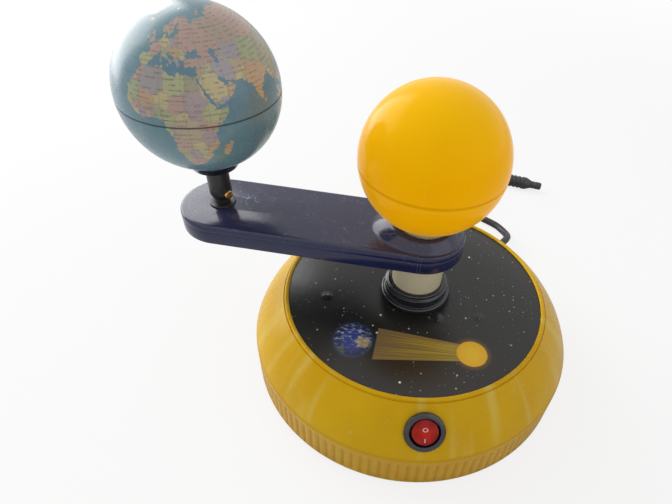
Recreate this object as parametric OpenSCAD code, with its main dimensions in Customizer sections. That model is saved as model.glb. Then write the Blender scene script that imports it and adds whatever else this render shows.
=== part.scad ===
// Motorised tellurion: a fixed sun on a round base, and an arm that carries a spinning globe round it.
// Millimetres. The origin is on the turning axis, on the plane that the base stands on.
// The arm points along -X, and the switch faces -Y.

/* [Base] */
// Diameter of the base over the flutes
base_d = 209.4; // [196:0.2:256]
// Height of the flat top above the floor
base_h = 55; // [52:0.5:70]
// Diameter of the flat top inside the lip
film_d = 163; // [150:0.5:168]
// Width of the raised lip round the top
lip_w = 4.8; // [3:0.1:8]
// Height of the lip above the top
lip_h = 1.1; // [0.5:0.1:2]
// Height of the knee between the fluted band and the cone
band_top = 26; // [22:0.5:30]
// How far the cone bulges out at its middle
cone_bulge = 1.2; // [0:0.1:3]
// Wall of the base shell
shell_wall = 2.4; // [1.6:0.1:4]
// Thickness of the shell's flat top
top_t = 3; // [2.5:0.1:4]
// Number of flutes round the band
flutes = 120; // [60:1:140]
// Depth of a flute
flute_depth = 0.8; // [0.4:0.1:1.2]
// Gap between the skirt and the floor
skirt_gap = 1.5; // [1:0.1:2]
// Thickness of the bottom plate
plate_t = 3; // [2.5:0.1:4]
// Thickness of the star film
film_t = 0.3; // [0.2:0.05:0.6]
// Radius of the circle of the bottom plate's screws
plate_screw_r = 92; // [90:0.5:94]

/* [Drive] */
// Outer diameter of the drive tube
tube_d = 31.5; // [31:0.1:32.5]
// Wall of the drive tube
tube_wall = 2.25; // [1.6:0.05:2.6]
// Height of the collar above the top
collar_h = 12; // [8:0.5:14]
// Diameter of the collar's flange
flange_d = 44; // [42:0.5:60]
// Diameter of the fixed lamp tube
lamp_d = 12; // [10:0.1:14]
// Tooth module of the gears
gear_m = 1; // [1:0.05:1.05]
// Teeth of the main gear
gear_z = 60; // [58:1:62]
// Teeth of the motor pinion
pinion_z = 20; // [18:1:22]
// Width of the main gear
gear_w = 6; // [4:0.5:7]
// Diameter of the motor
motor_d = 50; // [44:0.5:50]
// Height of the motor
motor_h = 19.5; // [16:0.5:20]
// Direction of the motor from the axis
motor_az = 166; // [160:1:172]

/* [Arm] */
// Distance from the turning axis to the globe's axis
arm_l = 121.5; // [112:0.5:150]
// Width of the arm
arm_w = 49.6; // [48:0.2:60]
// Height of the arm's box
arm_h = 13.1; // [12.5:0.1:16]
// Height of the arm's underside above the floor
arm_z = 92.5; // [88:0.5:110]
// Share of the arm's height that the tray takes
tray_share = 0.63; // [0.55:0.01:0.7]
// Wall of the tray and the lid
arm_wall = 2; // [1.6:0.1:2.4]
// Rounding of the lid's upper edge
lid_round = 3; // [1.5:0.1:3.5]
// Height of the dome over the sun end
dome_h = 8.5; // [6:0.1:10]
// Belt radius on the fixed pulley
fixed_pulley_r = 18; // [14:0.1:18.4]
// Belt radius on the globe's pulley
earth_pulley_r = 6; // [5.5:0.1:7]

/* [Sun and Earth] */
// Diameter of the sun
sun_d = 80; // [72:0.5:96]
// Gap between the arm's top and the foot of the sun
sun_gap = 6.8; // [6.5:0.1:14]
// Diameter of the globe
earth_d = 81; // [70:0.5:90]
// Gap between the arm's top and the foot of the globe
earth_gap = 29.1; // [26:0.1:40]
// Wall of the two balls
ball_wall = 1.6; // [1.2:0.1:2.4]
// Diameter of the globe's shaft
shaft_d = 8.8; // [8:0.1:9.4]
// Diameter of the socket on the shaft
socket_d = 12.8; // [12:0.1:14]
// Diameter of the saucer under the globe
saucer_d = 32; // [26:0.5:36]

/* [Switch] */
// Diameter of the switch's bezel
bezel_d = 23; // [22:0.1:24]
// Direction of the switch from the axis
switch_az = -80; // [-90:1:-70]
// Place of the switch down the cone, from lip to knee
switch_share = 0.43; // [0.4:0.01:0.5]
// Angle that the rocker swings through
rocker_swing = 16; // [10:1:18]

/* [Cord] */
// Diameter of the power cord
cord_d = 6; // [5:0.5:6]
// Turns in the cord's coil
coil_turns = 6; // [4:1:6]
// Radius of the coil's outer turn, at the cord's centre
coil_r = 45; // [44:0.5:46]
// Step from turn to turn
coil_pitch = 6.6; // [6.5:0.05:6.8]

/* [Hidden] */
$fn = 64;
tiny = 0.01;
big = 400;

// Clearances
run_gap = 0.07;
seat_gap = 0.05;
free_gap = 0.3;
thrust_gap = 0.1;

// Base
base_r = base_d / 2;
film_r = film_d / 2;
lip_r = film_r + lip_w;
top_z = base_h - film_t;
top_under = top_z - top_t;
cone_drop = base_h - band_top;
cone_run = base_r - lip_r;
cone_angle = atan(cone_run / cone_drop);
cone_steps = 10;
lip_steps = 6;
skirt_in = base_r - flute_depth - shell_wall;
plate_z = skirt_gap + 0.5;
plate_top = plate_z + plate_t;
plate_r = skirt_in - free_gap;
foot_r = [76, 86];
foot_sink = 1;
boss_r = 4;
boss_az = [30, 120, 210, 300];
screw_shank = 1.4;
screw_pilot = 1.45;
screw_head = 2.9;
screw_head_h = 1.1;
screw_len = 14;

// Drive
tube_r = tube_d / 2;
tube_in = tube_r - tube_wall;
collar_hole = tube_r + 2.4;
collar_step_r = tube_r + 2.9;
collar_flange_h = 3.5;
nut_r = collar_hole + 2.2;
nut_h = 5;
collar_tail = 8;
lamp_r = lamp_d / 2;
lamp_bore = lamp_r - 1.2;
ped_r = tube_r + 2.25;
ped_top = 22;
ped_flange_r = ped_r + 8;
ped_flange_h = 3;
ped_screw_r = ped_r + 4.2;
ped_floor = plate_top + 2;
spigot_h = 12;
washer_t = 1.5;
gear_zb = ped_top + washer_t + thrust_gap;
hub_r = tube_r + 3.2;
hub_h = 8;
gear_backlash = 0.12;
pitch_gear = gear_m * gear_z / 2;
pitch_pinion = gear_m * pinion_z / 2;
pinion_dist = pitch_gear + pitch_pinion + 0.05;
pinion_w = gear_w + 2;
pinion_zb = gear_zb - 1;
motor_offset = 9;
motor_dist = pinion_dist + motor_offset;
motor_shaft_r = 3;
motor_nose_r = 6;
motor_nose_h = 0.9;
motor_zb = top_under - motor_h;
ear_t = 1.5;
ear_w = 12;
ear_reach = 30;
top_screw_r = 1.7;
top_screw_head = 3.4;
bump_r = 3.8;
bump_h = 0.7;

// Terminal block, on two screws from above
block_at = [29.5, -19];
block_turn = 11.5;
block_pitch = 27;
block_size = [33, 11, 12];
block_holes = [-8, -2.7, 2.7, 8];

// Arm
arm_r = arm_w / 2;
arm_top = arm_z + arm_h;
tray_h = arm_h * tray_share;
seam_z = arm_z + tray_h;
tray_floor = arm_z + arm_wall + 0.2;
tube_seat_h = 3;
tube_seat_t = 2.6;
neck_r = tube_r - 0.25;
neck_wall = 2;
dome_r = arm_r - 0.5;
dome_hole = neck_r + 0.7;
dome_steps = 10;
arm_screw_at = [[-40, 0], [-78, 0], [16.5 - arm_l, 19.2], [16.5 - arm_l, -19.2]];
arm_boss_r = 2.7;
arm_shank = 1.1;
pulley_zb = tray_floor + tube_seat_h + free_gap;
pulley_w = 4.6;
pulley_rim_t = 0.8;
pulley_rim = 2.2;
belt_t = 1.2;
belt_w = pulley_w - 2 * pulley_rim_t - 2 * free_gap;
bush_wall = 2.1;
bush_rim = 7.6;
bush_rim_h = 1;

// Sun
sun_r = sun_d / 2;
sun_z = arm_top + sun_gap + sun_r;
sun_in = sun_r - ball_wall;
sun_hole = 12.5;
neck_floor = arm_top - 0.6;
holder_rim_r = 15;
holder_rim_t = 2;
holder_z = sun_z - sqrt(sun_in * sun_in - holder_rim_r * holder_rim_r) + seat_gap;
holder_r = 9;
holder_h = 15;
lamp_top = holder_z + 1;
bulb_cap_r = 6.6;
bulb_cap_h = 13;
bulb_r = 12;
bulb_glass_t = 0.8;
bulb_seat = holder_z + 4;
lip_in = 1.2;
lip_reach = 2;

// Globe
earth_r = earth_d / 2;
earth_z = arm_top + earth_gap + earth_r;
earth_in = earth_r - ball_wall;
shaft_r = shaft_d / 2;
socket_r = socket_d / 2;
saucer_r = saucer_d / 2;
saucer_t = 1.6;
socket_zb = arm_top + 4;
taper_h = 3.4;
globe_foot = earth_z - sqrt(earth_r * earth_r - socket_r * socket_r);
socket_top = globe_foot - 2.2;
set_screw_z = arm_top + 8.2;
set_screw_az = -30;
hub_in_r = 9;
hub_in_h = 9;
shaft_zb = tray_floor + thrust_gap;
shaft_top = earth_z - earth_in + 14;

// Switch, in its own frame: +Z out of the cone, +X down the cone
bezel_r = bezel_d / 2;
bezel_in = 8.4;
bezel_h = 2.3;
switch_seat = -0.6;
switch_r = 9.9;
switch_depth = 18;
rocker_r = 7.4;
rocker_top = 2.7;
rocker_low = -5;
rocker_pivot = -3;
rocker_pin_r = 1.2;
rocker_well = -7.5;
blade = [4.8, 0.8, 8];

// Cord and plug
cord_r = cord_d / 2;
cord_z = cord_r + 0.1;
cord_layer = cord_d + 0.45;
gland_az = 59;
gland_z = 11.2;
relief_end = base_r + 27.3;
relief_neck = 4.5;
relief_rim = 6;
relief_rim_t = 2.8;
gland_dir = [cos(gland_az), sin(gland_az)];
// The routes suit a base of radius 104.7, and move out with a wider one
moved = [each (base_r - 104.7) * gland_dir, 0];
coil_at = [-13 + moved[0], 192 + moved[1]];
coil_rings = 24;
coil_sides = 6;
lead_sides = 8;
plug_at = [63.3, 225.2, 6] + moved;
plug_turn = -8;
boot_l = 11;
boot_r = 4.6;
plug_r = 5.9;
plug_l = 21;
collar_l = 5.5;
barrel_r = 2.75;
barrel_l = 9.5;
cap_r = 3.6;
cap_t = 0.8;

// Route of the cord from the strain relief to the coil, after its straight start
route_in = [for (p = [[72.4, 121.2, 10.4], [73.6, 125.2, 9.3], [74, 129.4, 7.6], [73.7, 133.6, 5.8],
    [72.7, 137.6, 4.4], [71, 141.4, 3.5], [68.7, 144.9, 3.1], [65.7, 148, 3.1], [62, 150.6, 3.1],
    [56, 154.1, 3.1], [50, 157.5, 3.1], [44, 161, 3.1], [40.7, 163.5, 3.1], [37.7, 166.6, 3.1],
    [35.3, 170, 3.1], [33.6, 173.8, 3.1], [32.4, 177.8, 3.1], [32, 182, 3.1], [32, 186, 3.1]]) p + moved];
// Route of the cord from the coil to the plug's boot
route_out = [for (p = [[32, 198, 9.55], [32, 202, 9.55], [32.8, 208.2, 9], [35.2, 214, 7.6], [39, 219, 6],
    [44, 222.8, 4.8], [49.8, 225.2, 4.6], [56, 226, 5.5], [59.3, 225.8, 6], [63.3, 225.2, 6]]) p + moved];

// Inner wires, each from its own end piece to its hole in the terminal block
wire_r = 1.1;
wire_supply = [in_line(0.8), in_line(13), [44, 58, 16], [48, 38, 26], [50, 14, 33], [46, -4, 34],
    [40, -14, 34.5], [37.3, -17.4, 37], [37.3, -17.4, 44]];
wire_switch = [switch_point(-5, -26.4), switch_point(-9, -33), [16, -50, 35], [20, -38, 35.5],
    [24, -27, 35], [26.8, -20.5, 36], [26.8, -19.5, 38], [26.8, -19.5, 44]];
wire_motor = [[-29.2, -6.5, 46], [-24, -14, 46], [-12, -26, 44], [4, -30, 40], [16, -27, 37],
    [21.6, -21.8, 36.5], [21.6, -20.6, 38.5], [21.6, -20.6, 44]];
wire_lamp = [[32.1, -18.5, 44], [32.1, -18.5, 37], [36, -17, 31], [37.5, -14, 24], [37, -11, 17],
    [31, -7, 12.5], [24, -4.5, 12], [10, -1.8, 12]];

// Point behind the strain relief, and point in the switch's frame
function in_line(d) = [each (skirt_in - relief_rim_t - d) * gland_dir, gland_z];
function switch_point(x, z) = let (s = cone_point(1 - switch_share), t = 90 - cone_angle)
    [each polar(s[0] + x * cos(t) + z * sin(t), switch_az), s[1] - x * sin(t) + z * cos(t)];

// Vector and polar helpers
function unit(v) = v / norm(v);
function polar(r, a) = [r * cos(a), r * sin(a)];
function spread(p, r, a) = [p[0] + r * cos(a), p[1] + r * sin(a)];

// Direction of a route at one of its points
function heading(p, i) = unit(p[min(i + 1, len(p) - 1)] - p[max(i - 1, 0)]);

// Ring of points round a route's point, square to the route, with its corners set out from the vector up
function ring(c, t, r, n, up) = let (s = unit(cross(t, up)), u = cross(s, t))
    [for (k = [0:n - 1]) c + r * (cos(360 * (k + 0.5) / n) * s + sin(360 * (k + 0.5) / n) * u)];

// Closed tube swept along the points p, as one polyhedron
module sweep(p, r, n, up = [0, 0, 1]) {
    m = len(p);
    points = [for (i = [0:m - 1]) each ring(p[i], heading(p, i), r, n, up)];
    walls = [for (i = [0:m - 2]) for (k = [0:n - 1])
        each let (a = i * n + k, b = i * n + (k + 1) % n) [[a, a + n, b], [b, a + n, b + n]]];
    start = [for (k = [1:n - 2]) [0, k, k + 1]];
    end = [for (k = [1:n - 2]) [(m - 1) * n, (m - 1) * n + k + 1, (m - 1) * n + k]];
    polyhedron(points = points, faces = concat(walls, start, end), convexity = 10);
}

// Angle and radius of the coil after a angle, spiralling in and then out again
coil_half = coil_turns * 180;
function coil_radius(a) = coil_r - coil_pitch * (coil_half - abs(a - coil_half)) / 360;
function coil_height(a) = cord_z + cord_layer * max(0, min(1, (a - coil_half + 90) / 180));
function coil_point(a) = [each spread(coil_at, coil_radius(a), a), coil_height(a)];
coil_count = round(coil_turns * coil_rings);
coil_wound = [for (i = [0:coil_count]) coil_point(360 * i / coil_rings)];
coil_exit = coil_turns * 360;
coil_path = concat([[coil_at[0] + coil_r, coil_at[1] - cord_d, cord_z]], coil_wound,
    [[each spread(spread(coil_at, coil_r, coil_exit), cord_d, coil_exit + 90), cord_z + cord_layer]]);
coil_gap = min([for (i = [0:len(coil_wound) - 1]) for (j = [i + 12:1:len(coil_wound) - 1])
    norm(coil_wound[i] - coil_wound[j])]) - cord_d;

function route_len(p) = len(p) < 2 ? 0 : norm(p[1] - p[0]) + route_len([for (i = [1:len(p) - 1]) p[i]]);
gland_path = concat([for (d = [0, 5]) [each (relief_end + d) * gland_dir, gland_z]], route_in);
echo(coil_gap = coil_gap);
echo(cord_length = route_len(gland_path) + route_len(coil_path) + route_len(route_out));

// Outline of the base from the knee up to the lip, then in to the film's edge
function cone_point(t) = let (swell = cone_bulge * 4 * t * (1 - t))
    [base_r - cone_run * t + swell * cos(cone_angle), band_top + cone_drop * t + swell * sin(cone_angle)];
cone_line = [for (i = [0:cone_steps]) cone_point(i / cone_steps)];
lip_line = [for (i = [1:lip_steps]) let (a = 180 * i / lip_steps)
    [film_r + lip_w / 2 * (1 + cos(a)), base_h + (lip_h + film_t) * sin(a) - film_t * i / lip_steps]];
function inset(p, d) = [for (q = p) [q[0] - d * cos(cone_angle), q[1] - d * sin(cone_angle)]];

module base_solid() {
    rotate_extrude()
        polygon(concat([[0, skirt_gap], [base_r, skirt_gap]], cone_line, lip_line, [[0, top_z]]));
}

module base_hollow() {
    inner = [for (q = inset(cone_line, shell_wall)) if (q[1] < top_under && q[0] < skirt_in) q];
    rotate_extrude() polygon(concat([[0, 0], [skirt_in, 0], [skirt_in, band_top - 2]], inner,
        [[film_r - 3, top_under], [0, top_under]]));
}

// Cross-section of one flute, wider at its mouth
flute_pitch = PI * base_d / flutes;
flute_floor = 0.13 * flute_pitch;
flute_mouth = 0.3 * flute_pitch;
flute_top = band_top - 0.6;
flute_shape = [[base_r - flute_depth, -flute_floor], [base_r + 1, -flute_mouth], [base_r + 1, flute_mouth],
    [base_r - flute_depth, flute_floor]];

module at_switch() {
    s = cone_point(1 - switch_share);
    rotate([0, 0, switch_az]) translate([s[0], 0, s[1]]) rotate([0, 90 - cone_angle, 0]) children();
}

module at_gland() {
    rotate([0, 0, gland_az]) translate([0, 0, gland_z]) rotate([0, 90, 0]) children();
}

module at_motor() {
    rotate([0, 0, motor_az]) translate([motor_dist, 0, 0]) children();
}

module at_pinion() {
    rotate([0, 0, motor_az]) translate([pinion_dist, 0, 0]) children();
}

module at_block() {
    translate([block_at[0], block_at[1], 0]) rotate([0, 0, block_turn]) children();
}

// The four screws that come up through the shell's top
module top_screws_at(which) {
    if (which == "motor" || which == "both")
        at_motor() for (s = [-1, 1]) translate([0, s * ear_reach, 0]) children();
    if (which == "block" || which == "both")
        at_block() for (s = [-1, 1]) translate([s * block_pitch / 2, 0, 0]) children();
}

module countersunk(len) {
    translate([0, 0, top_z - 1.7]) cylinder(r1 = top_screw_r, r2 = top_screw_head, h = 1.7);
    translate([0, 0, top_z - len]) cylinder(r = top_screw_r, h = len);
}

module base_shell() {
    color("gold") difference() {
        union() {
            difference() {
                base_solid();
                base_hollow();
            }
            intersection() {
                base_solid();
                for (a = boss_az) rotate([0, 0, a]) translate([plate_screw_r, 0, plate_top])
                    cylinder(r = boss_r, h = big);
            }
        }
        linear_extrude(flute_top) for (i = [0:flutes - 1]) rotate(360 * i / flutes) polygon(flute_shape);
        for (a = boss_az) rotate([0, 0, a]) translate([plate_screw_r, 0, 0])
            cylinder(r = screw_pilot, h = plate_z + screw_len + 1);
        cylinder(r = collar_hole + free_gap, h = big);
        top_screws_at("both") countersunk(top_t + 1);
        at_switch() translate([0, 0, switch_seat]) cylinder(r = bezel_r + free_gap, h = 10);
        at_switch() translate([0, 0, -6]) cylinder(r = switch_r + free_gap, h = 10);
        at_gland() cylinder(r = relief_neck, h = big);
    }
}

module bottom_plate() {
    color("dimgray") difference() {
        translate([0, 0, plate_z]) cylinder(r = plate_r, h = plate_t);
        translate([0, 0, plate_z - 1]) difference() {
            cylinder(r = foot_r[1], h = foot_sink + 1);
            translate([0, 0, -1]) cylinder(r = foot_r[0], h = foot_sink + 3);
        }
        for (a = boss_az) rotate([0, 0, a]) translate([plate_screw_r, 0, 0]) screw_space(plate_z);
        for (a = [0, 120, 240]) rotate([0, 0, a]) translate([ped_screw_r, 0, 0]) screw_space(plate_z);
    }
}

// Room for a screw whose head is sunk in the plate
module screw_space(z) {
    translate([0, 0, z - 1]) cylinder(r = screw_head + free_gap, h = 1 + screw_head_h + 0.1);
    translate([0, 0, z - 1]) cylinder(r = screw_shank + free_gap, h = 10);
}

module pan_screw(z, r, len) {
    difference() {
        translate([0, 0, z]) cylinder(r = screw_head, h = screw_head_h);
        translate([-screw_head, -0.35, z - tiny]) cube([2 * screw_head, 0.7, 0.5]);
    }
    translate([0, 0, z + screw_head_h]) cylinder(r = r, h = len - screw_head_h);
}

module foot_ring() {
    color("black") difference() {
        cylinder(r = foot_r[1] - 0.1, h = plate_z + foot_sink);
        translate([0, 0, -1]) cylinder(r = foot_r[0] + 0.1, h = plate_z + foot_sink + 2);
    }
}

module plate_screws() {
    color("silver") for (a = boss_az) rotate([0, 0, a]) translate([plate_screw_r, 0, 0])
        pan_screw(plate_z + 0.1, screw_shank, screw_len);
}

module star_film() {
    color([0.13, 0.12, 0.11]) difference() {
        union() {
            translate([0, 0, top_z]) cylinder(r = film_r, h = film_t);
            top_screws_at("both") translate([0, 0, base_h - tiny]) rotate_extrude()
                polygon(concat([[0, 0]], [for (i = [0:5]) [bump_r * cos(18 * i), bump_h * sin(18 * i)]]));
        }
        cylinder(r = collar_hole + free_gap, h = big);
    }
}

module collar() {
    step = 1.4;
    color([0.09, 0.09, 0.09]) difference() {
        rotate_extrude() polygon([[0, top_under - collar_tail], [collar_hole, top_under - collar_tail],
            [collar_hole, base_h], [flange_d / 2, base_h], [flange_d / 2, base_h + collar_flange_h - 1],
            [flange_d / 2 - 1, base_h + collar_flange_h], [collar_step_r + step, base_h + collar_flange_h],
            [collar_step_r + step, base_h + collar_h - 3], [collar_step_r, base_h + collar_h - 2.4],
            [collar_step_r, base_h + collar_h - 0.8], [collar_step_r - 0.8, base_h + collar_h],
            [0, base_h + collar_h]]);
        cylinder(r = tube_r + run_gap, h = big);
    }
}

module collar_nut() {
    color("dimgray") translate([0, 0, top_under - nut_h]) difference() {
        cylinder(r = nut_r, h = nut_h);
        translate([0, 0, -1]) cylinder(r = collar_hole + seat_gap, h = nut_h + 2);
        for (a = [0:60:300]) rotate([0, 0, a]) translate([nut_r, 0, -1]) cylinder(r = 1.2, h = nut_h + 2);
    }
}

module pedestal() {
    color([0.82, 0.82, 0.78]) difference() {
        union() {
            translate([0, 0, plate_top]) cylinder(r = ped_flange_r, h = ped_flange_h);
            translate([0, 0, plate_top]) cylinder(r = ped_r, h = ped_top - plate_top);
            translate([0, 0, ped_top]) cylinder(r = tube_in - run_gap, h = spigot_h);
        }
        translate([0, 0, ped_floor]) cylinder(r = lamp_r + seat_gap, h = big);
        translate([0, 0, plate_top - 1]) cylinder(r = lamp_bore, h = big);
        rotate([0, 0, -10]) translate([0, 0, 12]) rotate([0, 90, 0]) cylinder(r = 2.2, h = ped_r + 1);
        for (a = [0, 120, 240]) rotate([0, 0, a]) translate([ped_screw_r, 0, plate_top - 1])
            cylinder(r = screw_pilot, h = ped_flange_h + 2);
    }
}

module pedestal_screws() {
    color("silver") for (a = [0, 120, 240]) rotate([0, 0, a]) translate([ped_screw_r, 0, 0])
        pan_screw(plate_z + 0.1, screw_shank, plate_t + ped_flange_h - 0.6);
}

module thrust_washer() {
    color("ivory") translate([0, 0, ped_top]) difference() {
        cylinder(r = ped_r, h = washer_t);
        translate([0, 0, -1]) cylinder(r = tube_in - run_gap + 0.1, h = washer_t + 2);
    }
}

module lamp_tube() {
    color("silver") difference() {
        translate([0, 0, ped_floor]) cylinder(r = lamp_r, h = lamp_top - ped_floor);
        translate([0, 0, ped_floor - 1]) cylinder(r = lamp_bore, h = big);
        rotate([0, 0, -10]) translate([0, 0, 12]) rotate([0, 90, 0]) cylinder(r = 2.2, h = ped_r);
    }
}

// Flanged pulley for the flat belt
module pulley(groove_r, bore_r) {
    difference() {
        rotate_extrude() polygon([[0, 0], [groove_r + pulley_rim, 0], [groove_r + pulley_rim, pulley_rim_t],
            [groove_r, pulley_rim_t], [groove_r, pulley_w - pulley_rim_t],
            [groove_r + pulley_rim, pulley_w - pulley_rim_t], [groove_r + pulley_rim, pulley_w],
            [0, pulley_w]]);
        translate([0, 0, -1]) cylinder(r = bore_r, h = pulley_w + 2);
    }
}

module fixed_pulley() {
    color("white") translate([0, 0, pulley_zb]) pulley(fixed_pulley_r, lamp_r + seat_gap);
}

module sun_neck() {
    color("antiquewhite") difference() {
        translate([0, 0, neck_floor]) cylinder(r = neck_r, h = sun_z - sun_in - neck_floor + 8);
        translate([0, 0, neck_floor + neck_wall]) cylinder(r = neck_r - neck_wall, h = big);
        translate([0, 0, neck_floor - 1]) cylinder(r = lamp_r + seat_gap, h = big);
        translate([0, 0, sun_z]) sphere(r = sun_r + seat_gap, $fn = 96);
    }
}

module lamp_holder() {
    color("whitesmoke") difference() {
        union() {
            translate([0, 0, holder_z]) cylinder(r = holder_rim_r, h = holder_rim_t);
            translate([0, 0, holder_z]) cylinder(r = holder_r, h = holder_h);
        }
        translate([0, 0, holder_z - 1]) cylinder(r = lamp_bore, h = 20);
        translate([0, 0, holder_z - 1]) cylinder(r = lamp_r + seat_gap, h = 2 + seat_gap);
        translate([0, 0, bulb_seat]) cylinder(r = bulb_cap_r + 0.2, h = big);
    }
}

module bulb_cap() {
    color("silver") translate([0, 0, bulb_seat + 0.2]) cylinder(r = bulb_cap_r, h = bulb_cap_h);
}

module bulb_glass() {
    z = bulb_seat + 0.2 + bulb_cap_h;
    rise = sqrt(bulb_r * bulb_r - bulb_cap_r * bulb_cap_r);
    color([0.9, 0.95, 1, 0.5]) difference() {
        translate([0, 0, z + rise]) sphere(r = bulb_r);
        translate([0, 0, z + rise]) sphere(r = bulb_r - bulb_glass_t);
        translate([0, 0, z - big]) cylinder(r = bulb_r, h = big);
    }
}

// Lower half of a hollow ball, with a lip inside its seam that takes the upper half
module half_ball(r, z, hole) {
    inner = r - ball_wall;
    difference() {
        union() {
            difference() {
                translate([0, 0, z]) sphere(r = r, $fn = 96);
                translate([0, 0, z]) cylinder(r = r + 1, h = r + 1);
            }
            translate([0, 0, z - lip_reach]) cylinder(r = inner - seat_gap, h = 2 * lip_reach);
        }
        difference() {
            translate([0, 0, z]) sphere(r = inner, $fn = 96);
            translate([0, 0, z - lip_reach]) difference() {
                cylinder(r = r, h = big);
                translate([0, 0, -1]) cylinder(r = inner - lip_in, h = big);
            }
        }
        translate([0, 0, z - r - 1]) cylinder(r = hole, h = r);
    }
}

module top_half_ball(r, z) {
    difference() {
        translate([0, 0, z]) sphere(r = r, $fn = 96);
        translate([0, 0, z]) sphere(r = r - ball_wall, $fn = 96);
        translate([0, 0, z - r - 1]) cylinder(r = r + 1, h = r + 1);
        translate([0, 0, z - 1]) cylinder(r = r - ball_wall, h = 1 + lip_reach);
    }
}

module sun_lower() {
    color("orange") half_ball(sun_r, sun_z, sun_hole);
}

module sun_upper() {
    color("orange") top_half_ball(sun_r, sun_z);
}

module motor_case() {
    color("silver") difference() {
        union() {
            at_motor() translate([0, 0, motor_zb]) cylinder(r = motor_d / 2, h = motor_h - ear_t);
            at_pinion() translate([0, 0, motor_zb - motor_nose_h]) cylinder(r = motor_nose_r, h = 2);
        }
        at_pinion() translate([0, 0, motor_zb - 2]) cylinder(r = motor_shaft_r + run_gap, h = 12);
    }
}

module motor_ears() {
    color("silver") at_motor() translate([0, 0, top_under - ear_t]) difference() {
        union() {
            cylinder(r = motor_d / 2, h = ear_t);
            for (s = [-1, 1]) translate([0, s * ear_reach, 0]) cylinder(r = ear_w / 2, h = ear_t);
            translate([-ear_w / 2, -ear_reach, 0]) cube([ear_w, 2 * ear_reach, ear_t]);
        }
        for (s = [-1, 1]) translate([0, s * ear_reach, -1]) cylinder(r = top_screw_r, h = ear_t + 2);
    }
}

// Countersunk screws with their nuts
module top_screw(reach, nut) {
    difference() {
        countersunk(reach);
        translate([-0.4, -top_screw_head, top_z - 0.6]) cube([0.8, 2 * top_screw_head, 1]);
    }
    if (nut) translate([0, 0, top_under - ear_t - 2.4]) difference() {
        cylinder(r = 3.4, h = 2.4, $fn = 6);
        translate([0, 0, -1]) cylinder(r = top_screw_r, h = 5);
    }
}

module motor_screws() {
    color("silver") top_screws_at("motor") top_screw(10, true);
}

module block_screws() {
    color("silver") top_screws_at("block") top_screw(10, false);
}

module terminal_block() {
    color("ivory") at_block() difference() {
        translate([-block_size[0] / 2, -block_size[1] / 2, top_under - block_size[2]]) cube(block_size);
        for (s = [-1, 1]) translate([s * block_pitch / 2, 0, top_under - 9])
            cylinder(r = top_screw_r, h = 12);
        for (x = block_holes) translate([x, 0, top_under - block_size[2] - 1]) cylinder(r = 1.5, h = 6);
    }
}

module wiring() {
    for (w = [[wire_supply, "sienna", [1, 0, 0]], [wire_switch, "saddlebrown", [1, 0, 0]],
        [wire_motor, "royalblue", [0, 1, 0]], [wire_lamp, "firebrick", [0, 1, 0]]])
        color(w[1]) sweep(w[0], wire_r, 6, w[2]);
}

module switch_body() {
    color([0.08, 0.08, 0.08]) at_switch() difference() {
        union() {
            rotate_extrude() polygon([[0, switch_seat], [bezel_r, switch_seat],
                [bezel_r, switch_seat + bezel_h - 1], [bezel_r - 1, switch_seat + bezel_h],
                [0, switch_seat + bezel_h]]);
            translate([0, 0, -switch_depth]) cylinder(r = switch_r, h = switch_depth + switch_seat);
        }
        translate([0, 0, rocker_well]) cylinder(r = bezel_in, h = 20);
        translate([0, switch_r + 1, rocker_pivot]) rotate([90, 0, 0])
            cylinder(r = rocker_pin_r + seat_gap, h = 2 * switch_r + 2);
    }
}

module switch_terminals() {
    color("goldenrod") at_switch() for (x = [-5, 5])
        translate([x - blade[0] / 2, -blade[1] / 2, -switch_depth - blade[2]]) cube(blade);
}

module rocker() {
    fall = rocker_r * tan(rocker_swing / 2);
    color("red") at_switch() translate([0, 0, rocker_pivot]) rotate([0, -rocker_swing / 2, 0])
        translate([0, 0, -rocker_pivot]) {
            intersection() {
                translate([0, 0, rocker_low]) cylinder(r = rocker_r, h = rocker_top - rocker_low);
                translate([0, rocker_r, 0]) rotate([90, 0, 0]) linear_extrude(2 * rocker_r)
                    polygon([[-rocker_r, rocker_low], [rocker_r, rocker_low], [rocker_r, rocker_top - fall],
                        [0, rocker_top], [-rocker_r, rocker_top - fall]]);
            }
            translate([0, switch_r - 0.5, rocker_pivot]) rotate([90, 0, 0])
                cylinder(r = rocker_pin_r, h = 2 * switch_r - 1);
        }
}

module strain_relief() {
    color([0.08, 0.08, 0.08]) at_gland() rotate_extrude() polygon([[0, skirt_in - relief_rim_t],
        [relief_rim, skirt_in - relief_rim_t], [relief_rim, skirt_in - 0.2],
        [relief_neck - 0.05, skirt_in - 0.2], [relief_neck - 0.05, base_r + 0.2], [6.5, base_r + 0.2],
        [6.5, base_r + 2.5], [5.4, base_r + 4], [cord_r + 0.6, relief_end], [0, relief_end]]);
}

module power_cord() {
    color([0.08, 0.08, 0.08]) sweep(gland_path, cord_r, lead_sides);
}

module cord_coil() {
    color([0.08, 0.08, 0.08]) sweep(coil_path, cord_r, coil_sides);
}

module plug_lead() {
    color([0.08, 0.08, 0.08]) sweep(route_out, cord_r, lead_sides);
}

module at_plug() {
    translate(plug_at) rotate([0, 0, plug_turn]) rotate([0, 90, 0]) children();
}

// Grip with three finger grooves, and a collar that tapers to the barrel
module plug_body() {
    grooves = [for (i = [0:2]) each let (z = boot_l + 7 + 4 * i) [[plug_r, z], [plug_r - 0.6, z + 0.5],
        [plug_r - 0.6, z + 1.5], [plug_r, z + 2]]];
    color([0.09, 0.09, 0.09]) at_plug() difference() {
        rotate_extrude() polygon(concat([[0, boot_l], [plug_r - 1, boot_l], [plug_r, boot_l + 1.5]], grooves,
            [[plug_r, boot_l + plug_l], [cap_r, boot_l + plug_l + collar_l], [0, boot_l + plug_l + collar_l]]));
        translate([0, 0, boot_l + 10]) cylinder(r = barrel_r, h = big);
    }
}

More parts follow.
